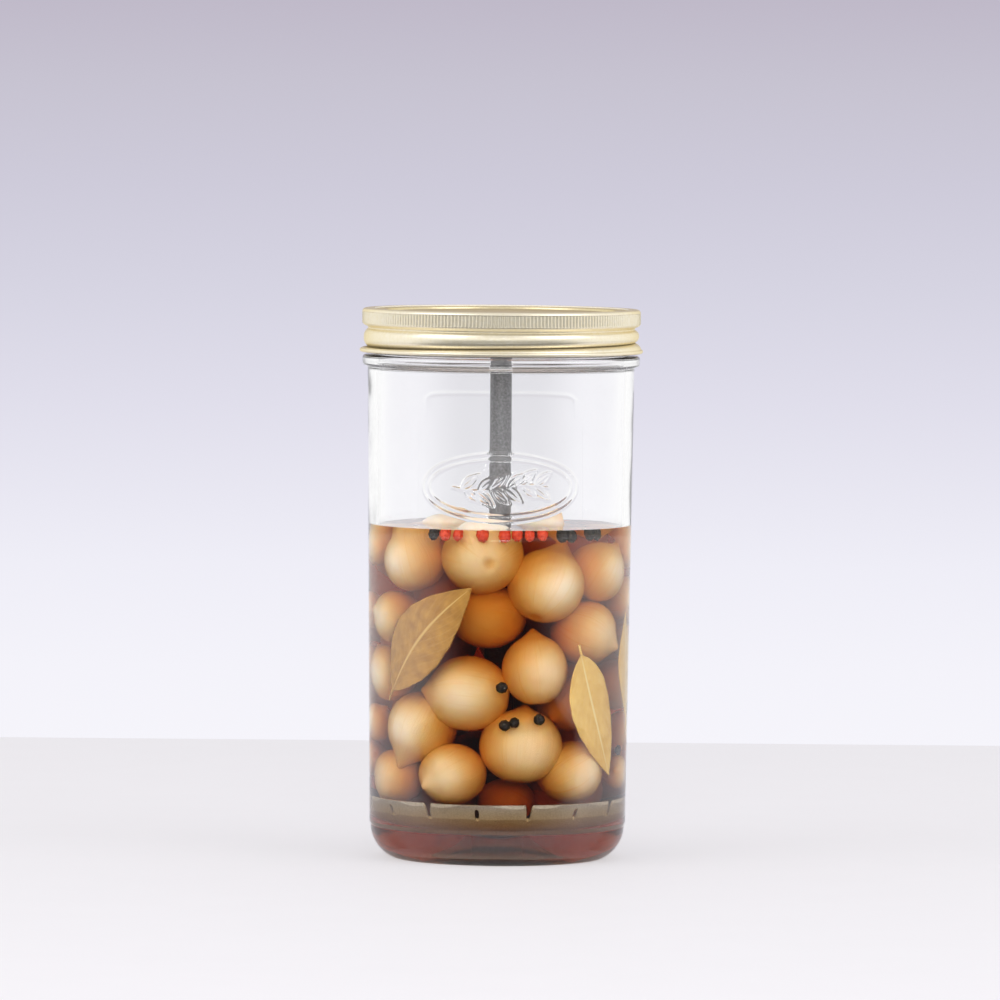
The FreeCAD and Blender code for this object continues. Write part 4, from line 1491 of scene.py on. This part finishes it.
@dataclass(frozen=True)
class BayLeaf:
    """A bay leaf that lies against the inside of the glass."""

    stem: Point2                # azimuth in degrees and height in millimetres
    tip: Point2
    width: float
    bow: float = 0.0            # sideways bend of its midrib
    stalk: float = 0.08         # share of its length that is stalk
    blunt: float = 1.0          # above 1 the blade is widest nearer its stem
    gap: float = 0.7            # from the glass
    lift: float = 0.9           # height of its waves
    wave: float = 0.0

    rows: int = 90
    columns: int = 25
    half_thick: float = 0.16

    def sheet(self, jar: GlassJar) -> np.ndarray:
        """Vertices of the leaf's outer face and then its inner one, curved to the glass.

        Args:
            jar: what it lies against.

        Returns:
            The vertices, face by face and row by row.
        """
        along = np.linspace(0, 1, self.rows)
        side = np.linspace(-1, 1, self.columns)
        blade = np.clip((along - self.stalk) / (1 - self.stalk), 0, 1)
        half = 0.5 * self.width * np.sin(math.pi * blade ** self.blunt) ** 0.92
        half = np.maximum(half, 0.45 * (1 - 0.9 * along ** 8))
        girth = jar.inner_radius((self.stem[1] + self.tip[1]) / 2)
        start, end = (np.array([math.radians(azimuth) * girth, height])
                      for azimuth, height in (self.stem, self.tip))
        ahead = (end - start) / np.linalg.norm(end - start)
        beside = np.array([-ahead[1], ahead[0]])
        bow = np.outer(self.bow * np.sin(math.pi * along), beside)
        spine = start + np.outer(along, end - start) + bow
        ripple = 1 + 0.012 * np.sin(along * 41 + 1.3) * np.clip(blade * 4, 0, 1)
        flat = spine[:, None, :] + (half * ripple)[:, None, None] * side[None, :, None] * beside
        fold = np.abs(side)[None, :]
        waves = 1 + np.sin(along[:, None] * 9 + side[None, :] * 1.5 + self.wave)
        off = self.gap + 0.35 * (1 - fold) * (half[:, None] > 1)
        off = off + 0.5 * self.lift * fold ** 2 * waves * np.clip(blade[:, None] * 3, 0, 1)
        azimuth = np.degrees(flat[..., 0] / girth)
        middle = np.vectorize(jar.inner_radius)(flat[..., 1]) - off
        faces = [around(middle + thick, azimuth, flat[..., 1]).reshape(-1, 3)
                 for thick in (self.half_thick, -self.half_thick)]
        return np.vstack(faces)

    def map_blade(self, leaf: bpy.types.Object) -> None:
        """Give both faces a map that runs along the blade and across it.

        Args:
            leaf: the leaf, with its vertices in the order of sheet().
        """
        across, along = np.meshgrid(np.linspace(-1, 1, self.columns) * 0.5 + 0.5,
                                    np.linspace(0, 1, self.rows))
        table = np.tile(np.stack([along, across], axis=-1).reshape(-1, 2), (2, 1))
        corners = np.zeros(len(leaf.data.loops), dtype=int)
        leaf.data.loops.foreach_get("vertex_index", corners)
        leaf.data.uv_layers.new(name="blade").data.foreach_set("uv", table[corners].ravel())

    def build(self, name: str, jar: GlassJar, material: bpy.types.Material) -> None:
        """Make the leaf as a thin closed sheet.

        Args:
            name: the piece's name.
            jar: what it lies against.
            material: the leaf's surface.
        """
        leaf = make_object(name, self.sheet(jar), sheet_faces(self.rows, self.columns))
        first = leaf.data.polygons[0]
        if first.normal.x * first.center.x + first.normal.y * first.center.y < 0:
            leaf.data.flip_normals()
        self.map_blade(leaf)
        dress(leaf, material)


def peppercorn_tree() -> bpy.types.NodeTree:
    """A Geometry Nodes tree that puts a wrinkled peppercorn on every point.

    Returns:
        A tree with the inputs Radius, Spread, Wrinkle, Seed and Material.
    """
    graph, given = geometry_graph("Peppercorns", Radius="Float", Spread="Float", Wrinkle="Float",
                                  Seed="Int", Material="Material")
    corn = graph.add("GeometryNodeMeshIcoSphere", inputs={"Radius": given["Radius"], "Subdivisions": 5})
    spin = graph.add("FunctionNodeRandomValue", {"data_type": "FLOAT_VECTOR"}, {
        "Max": (6.28, 6.28, 6.28), "Seed": given["Seed"]})
    size = graph.add("FunctionNodeRandomValue", {"data_type": "FLOAT"}, {
        2: graph.math("SUBTRACT", 1.0, given["Spread"]), 3: graph.math("ADD", 1.0, given["Spread"]),
        "Seed": given["Seed"]})
    placed = graph.add("GeometryNodeInstanceOnPoints", inputs={
        "Points": given["Geometry"], "Instance": corn.outputs["Mesh"],
        "Rotation": spin.outputs[0], "Scale": size.outputs[1]})
    real = graph.add("GeometryNodeRealizeInstances", inputs={0: placed.outputs[0]})
    place = graph.add("GeometryNodeInputPosition").outputs[0]
    cells = graph.add("ShaderNodeTexVoronoi", {"feature": "SMOOTH_F1"}, {
        "Vector": place, "Scale": 900.0, "Smoothness": 0.35})
    folds = graph.add("ShaderNodeTexNoise", inputs={"Vector": place, "Scale": 380.0, "Detail": 2.0})
    sunk = graph.math("MULTIPLY", graph.math("ADD", cells.outputs["Distance"], folds.outputs["Fac"]),
                      given["Wrinkle"])
    normal = graph.add("GeometryNodeInputNormal").outputs[0]
    offset = graph.vector("SCALE", normal, Scale=graph.math("MULTIPLY", sunk, -1.0))
    moved = graph.add("GeometryNodeSetPosition", inputs={"Geometry": real.outputs[0], "Offset": offset})
    smooth = graph.add("GeometryNodeSetShadeSmooth", inputs={"Geometry": moved.outputs[0]})
    done = graph.add("GeometryNodeSetMaterial", inputs={
        "Geometry": smooth.outputs[0], "Material": given["Material"]})
    graph.add("NodeGroupOutput", inputs={0: done.outputs[0]})
    return graph.tree


@dataclass
class Peppercorns:
    """Peppercorns that float against the glass and a few that have sunk between the onions."""

    jar: GlassJar
    radius: float = 2.15
    black_floating: tuple[float, ...] = (-32.7, 31.0, 36.0, 47.0, 51.7, 151.0, 170.0, 190.0, 207.0)
    pink_floating: tuple[float, ...] = (-26.5, -20.1, -8.0, 2.4, 8.3, 14.3, 20.7,
                                        144.0, 162.0, 198.0, 216.0)
    black_sunk: tuple[Point2, ...] = ((1.7, 63.3), (3.2, 50.0), (7.8, 51.0), (20.1, 52.0),
                                      (76.1, 39.2), (134.0, 71.0), (203.0, 55.0))

    def against_wall(self, azimuth: float, height: float) -> np.ndarray:
        """The place of a peppercorn that touches the glass."""
        return around(self.jar.inner_radius(height) - self.radius - 0.15, azimuth, height)

    def build(self, name: str, slot: Slot, places: Sequence[np.ndarray], seed: int,
              material: bpy.types.Material) -> None:
        """Make one kind of peppercorn as one piece.

        Args:
            name: the piece's name.
            slot: the record's slot; not used.
            places: a point for each.
            seed: seed of their sizes and turns.
            material: their skin.
        """
        points = make_object(name, np.array(places), [])
        corns = run_tree(points, peppercorn_tree(), {
            "Radius": self.radius * 1.1 * MM, "Spread": 0.08, "Wrinkle": 0.42 * MM, "Seed": seed,
            "Material": material})
        dress(corns)

    def build_all(self, black: bpy.types.Material, pink: bpy.types.Material) -> None:
        """Make both kinds.

        Args:
            black: skin of the black ones.
            pink: skin of the pink ones.
        """
        afloat = FILL_LEVEL - 2.0
        dark = [self.against_wall(a, afloat - 0.25 * (n % 3)) for n, a in enumerate(self.black_floating)]
        dark += [self.against_wall(a, z) for a, z in self.black_sunk]
        self.build("black_peppercorns", Slot.BLACK_PEPPER, dark, 5, black)
        rosy = [self.against_wall(a, afloat - 0.2 * (n % 2)) for n, a in enumerate(self.pink_floating)]
        self.build("pink_peppercorns", Slot.PINK_PEPPER, rosy, 9, pink)


@dataclass
class Brine:
    """The pickling liquid, which wets the glass and climbs a little on what it touches."""

    jar: GlassJar
    pile: OnionPile
    sink: float = 0.08          # how far it reaches into the glass
    wall_climb: float = 0.05
    rod_climb: float = 0.3
    onion_climb: float = 0.25
    columns: int = 180

    def build(self, material: bpy.types.Material) -> None:
        """Make the liquid as one closed solid.

        Args:
            material: the liquid.
        """
        azimuths = np.arange(self.columns) * 360 / self.columns
        side = [(self.jar.inner_radius(z) + self.sink, z)
                for z in np.arange(self.jar.floor + self.jar.inner_heel_arc + 4, FILL_LEVEL - 2, 6.0)]
        lower = turned_rings(self.jar.floor_profile(self.sink) + side, azimuths)
        edge = self.jar.inner_radius(FILL_LEVEL)
        radii = np.concatenate([edge - np.array([-self.sink, 0, 0.25, 0.6, 1.0, 1.6]),
                                np.arange(edge - 2.4, 5.4, -0.7), [4.9, 4.5, 4.1, 3.8, 3.0, 1.5]])
        surface = around(radii[:, None], azimuths[None, :], FILL_LEVEL)
        rise = self.wall_climb * np.exp(-np.clip(edge - radii, 0, None) / 0.9)
        rise += self.rod_climb * np.exp(-np.clip(radii - ROD_RADIUS, 0, None) / 0.9)
        surface[..., 2] += rise[:, None]
        for onion in self.pile.floating:
            x, y, z = onion.centre
            circle = math.sqrt(max(onion.radius ** 2 - (FILL_LEVEL - z) ** 2, 0))
            away = np.abs(np.hypot(surface[..., 0] - x, surface[..., 1] - y) - circle)
            surface[..., 2] += self.onion_climb * np.exp(-away / 0.8)
        rings = np.concatenate([lower, surface])
        bottom = self.jar.floor + self.jar.push_up - self.sink
        brine = capped_shell("pickling_vinegar", rings, (0, 0, bottom), (0, 0, FILL_LEVEL + self.rod_climb))
        dress(brine, material, replaces=["pickling_liquid"])


# --------------------------------------------------------------------------------- studio


@dataclass
class Studio:
    """A white table, a pale lilac backdrop, two tall softboxes and an even surround, in metres."""

    table_half: float = 0.51
    table_edge: tuple[Point2, ...] = ((0.0, 0.0), (0.4, 0.02), (0.8, 0.25), (1.0, 1.0), (1.0, 5.0))
    wall_radius: float = 3.4
    wall_heights: tuple[float, ...] = (-0.6, -0.25, 0.05, 0.35, 1.0, 2.4)
    surround: float = 0.76
    softbox_light: float = 1.5
    softbox_size: Point2 = (0.9, 0.8)
    softbox_azimuth: float = 58.0
    softbox_height: float = 1.0
    softbox_aim: float = 0.1
    fill_light: float = 6.5
    fill_size: Point2 = (0.6, 0.6)
    fill_place: tuple[float, float, float] = (0.0, -1.6, 0.55)
    fill_aim: float = 0.09
    camera_place: tuple[float, float, float] = (0.0, -2.996, 0.284)
    camera_aim: float = 0.127
    lens: float = 304.0
    roll: float = 0.5

    def build(self) -> None:
        """Make the table, the backdrop, the lamps and the camera."""
        self.table()
        self.backdrop()
        self.world()
        for side in (-1, 1):
            place = around(1.0, side * self.softbox_azimuth, self.softbox_height)
            self.lamp("softbox", place.tolist(), self.softbox_aim, self.softbox_light, self.softbox_size)
        fill = self.lamp("fill", self.fill_place, self.fill_aim, self.fill_light, self.fill_size)
        fill.visible_glossy = False     # too broad to show in polished surfaces
        self.camera()
        scene = bpy.context.scene
        scene.view_settings.view_transform = "Standard"
        scene.cycles.transparent_max_bounces = 24
        scene.cycles.transmission_bounces = 16
        scene.cycles.max_bounces = 20
        scene.cycles.diffuse_bounces = 5

    def table(self) -> bpy.types.Object:
        """The table top, with a softly rounded edge.

        Returns:
            The table.
        """
        half, soft = self.table_half / MM, 6.0
        rings = []
        for grow, drop in reversed(self.table_edge):
            reach, low = half - soft + grow * soft, -drop * soft
            rings.append([(x * reach, y * reach, low) for x, y in ((-1, -1), (1, -1), (1, 1), (-1, 1))])
        top = capped_shell("table", np.array(rings), (0, 0, rings[0][0][2]), (0, 0, 0))
        top.data.materials.append(TableLaminate().make())
        return top

    def backdrop(self) -> bpy.types.Object:
        """The wall all round, which lights nothing but what polished and clear surfaces show.

        Returns:
            The backdrop.
        """
        azimuths = np.arange(144) * 2.5
        rings = np.array([around(self.wall_radius / MM, azimuths, z / MM) for z in self.wall_heights])
        wall = make_object("backdrop", rings.reshape(-1, 3), ring_faces(*rings.shape[:2]))
        wall.data.flip_normals()
        wall.data.materials.append(LilacPaper().make())
        wall.visible_diffuse = False
        wall.visible_shadow = False
        return wall

    def world(self) -> None:
        """The even surround."""
        world = bpy.data.worlds.new("studio surround")
        world.use_nodes = True
        graph = Graph(world.node_tree)
        glow = graph.add("ShaderNodeBackground", inputs={
            "Color": linear("FDFDFF"), "Strength": self.surround})
        graph.add("ShaderNodeOutputWorld", inputs={0: glow.outputs[0]})
        bpy.context.scene.world = world

    def lamp(self, name: str, place: Sequence[float], aim: float, light: float,
             size: Point2) -> bpy.types.Object:
        """Hang an area lamp that the camera doesn't see.

        Args:
            name: its name.
            place: where it hangs.
            aim: height on the jar's axis that it points at.
            light: its brightness, whatever its size.
            size: its width and height.

        Returns:
            The lamp.
        """
        data = bpy.data.lights.new(name, "AREA")
        data.shape = "RECTANGLE"
        data.size, data.size_y = size
        data.energy = light * math.pi * data.size * data.size_y
        lamp = bpy.data.objects.new(name, data)
        lamp.location = place
        towards = Vector((0, 0, aim)) - lamp.location
        lamp.rotation_euler = towards.to_track_quat("-Z", "Y").to_euler()
        lamp.visible_camera = False
        bpy.context.scene.collection.objects.link(lamp)
        return lamp

    def camera(self) -> None:
        """The camera, level with the jar and a little above it."""
        data = bpy.data.cameras.new("camera")
        data.lens, data.sensor_width, data.clip_end = self.lens, 36.0, 50.0
        camera = bpy.data.objects.new("camera", data)
        place, aim = Vector(self.camera_place), Vector((0, 0, self.camera_aim))
        turn = (aim - place).to_track_quat("-Z", "Y").to_matrix().to_4x4()
        roll = Matrix.Rotation(math.radians(self.roll), 4, "Z")
        camera.matrix_world = Matrix.Translation(place) @ turn @ roll
        bpy.context.scene.collection.objects.link(camera)
        bpy.context.scene.camera = camera


# ----------------------------------------------------------------------------------- main


def main() -> None:
    """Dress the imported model."""
    logging.basicConfig(level=logging.INFO, format="%(message)s")
    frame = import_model()
    jar = GlassJar()
    jar.build(JarGlass())
    lid = ScrewLid()
    enamel = Mottled("stoved white enamel", "F6F2EC", "FBF8F4", 6.0, 0.4).make()
    lid.build_band(GoldLacquer().make(), enamel)
    # painted shade: the disc's lacquer is a darker copy of the band's, for the panel sunk under the band's
    # top
    lid.build_disc(GoldLacquer("gold-lacquered disc", "E8DBB6", "E0D1A6").make(), enamel)
    lid.build_seal(Mottled("moulded sealing compound", "D2CFC4", "DEDBD2", 2.0, 0.6).make())
    steel = SatinStainless().make()
    for name in ("lifter_rod", "foot_nut"):
        refinish(frame["nodes"][name], steel)
    sheet = SatinStainless("satin stainless sheet", "D8D6DA", "BEBCC0", 0.6, 0.7)
    refinish(frame["nodes"]["lifter_plate"], sheet.make())
    pile = OnionPile(jar)
    pile.build(PeeledOnion().make())
    Brine(jar, pile).build(SpicedVinegar().make())
    leaf = DriedBayLeaf().make()
    young = DriedBayLeaf("young dried bay leaf", "F4D276", "E6BC5C", "FBE8AC").make()
    BayLeaf((-60.9, 57.1), (-12.9, 98.3), 23.0, bow=3.0, blunt=0.85).build("bay_leaf_1", jar, leaf)
    BayLeaf((40.2, 78.0), (63.6, 31.0), 20.0, bow=-1.0, blunt=0.8, wave=2.0).build("bay_leaf_2", jar, young)
    BayLeaf((86.0, 46.0), (80.0, 88.0), 15.0, wave=1.0).build("bay_leaf_3", jar, young)
    Peppercorns(jar).build_all(
        PepperSkin("soaked black peppercorn skin", "060303", "201614", 0.55).make(),
        PepperSkin("pink peppercorn skin", "C41A08", "F4562E", 0.4).make())
    Studio().build()


if __name__ == "__main__":
    main()
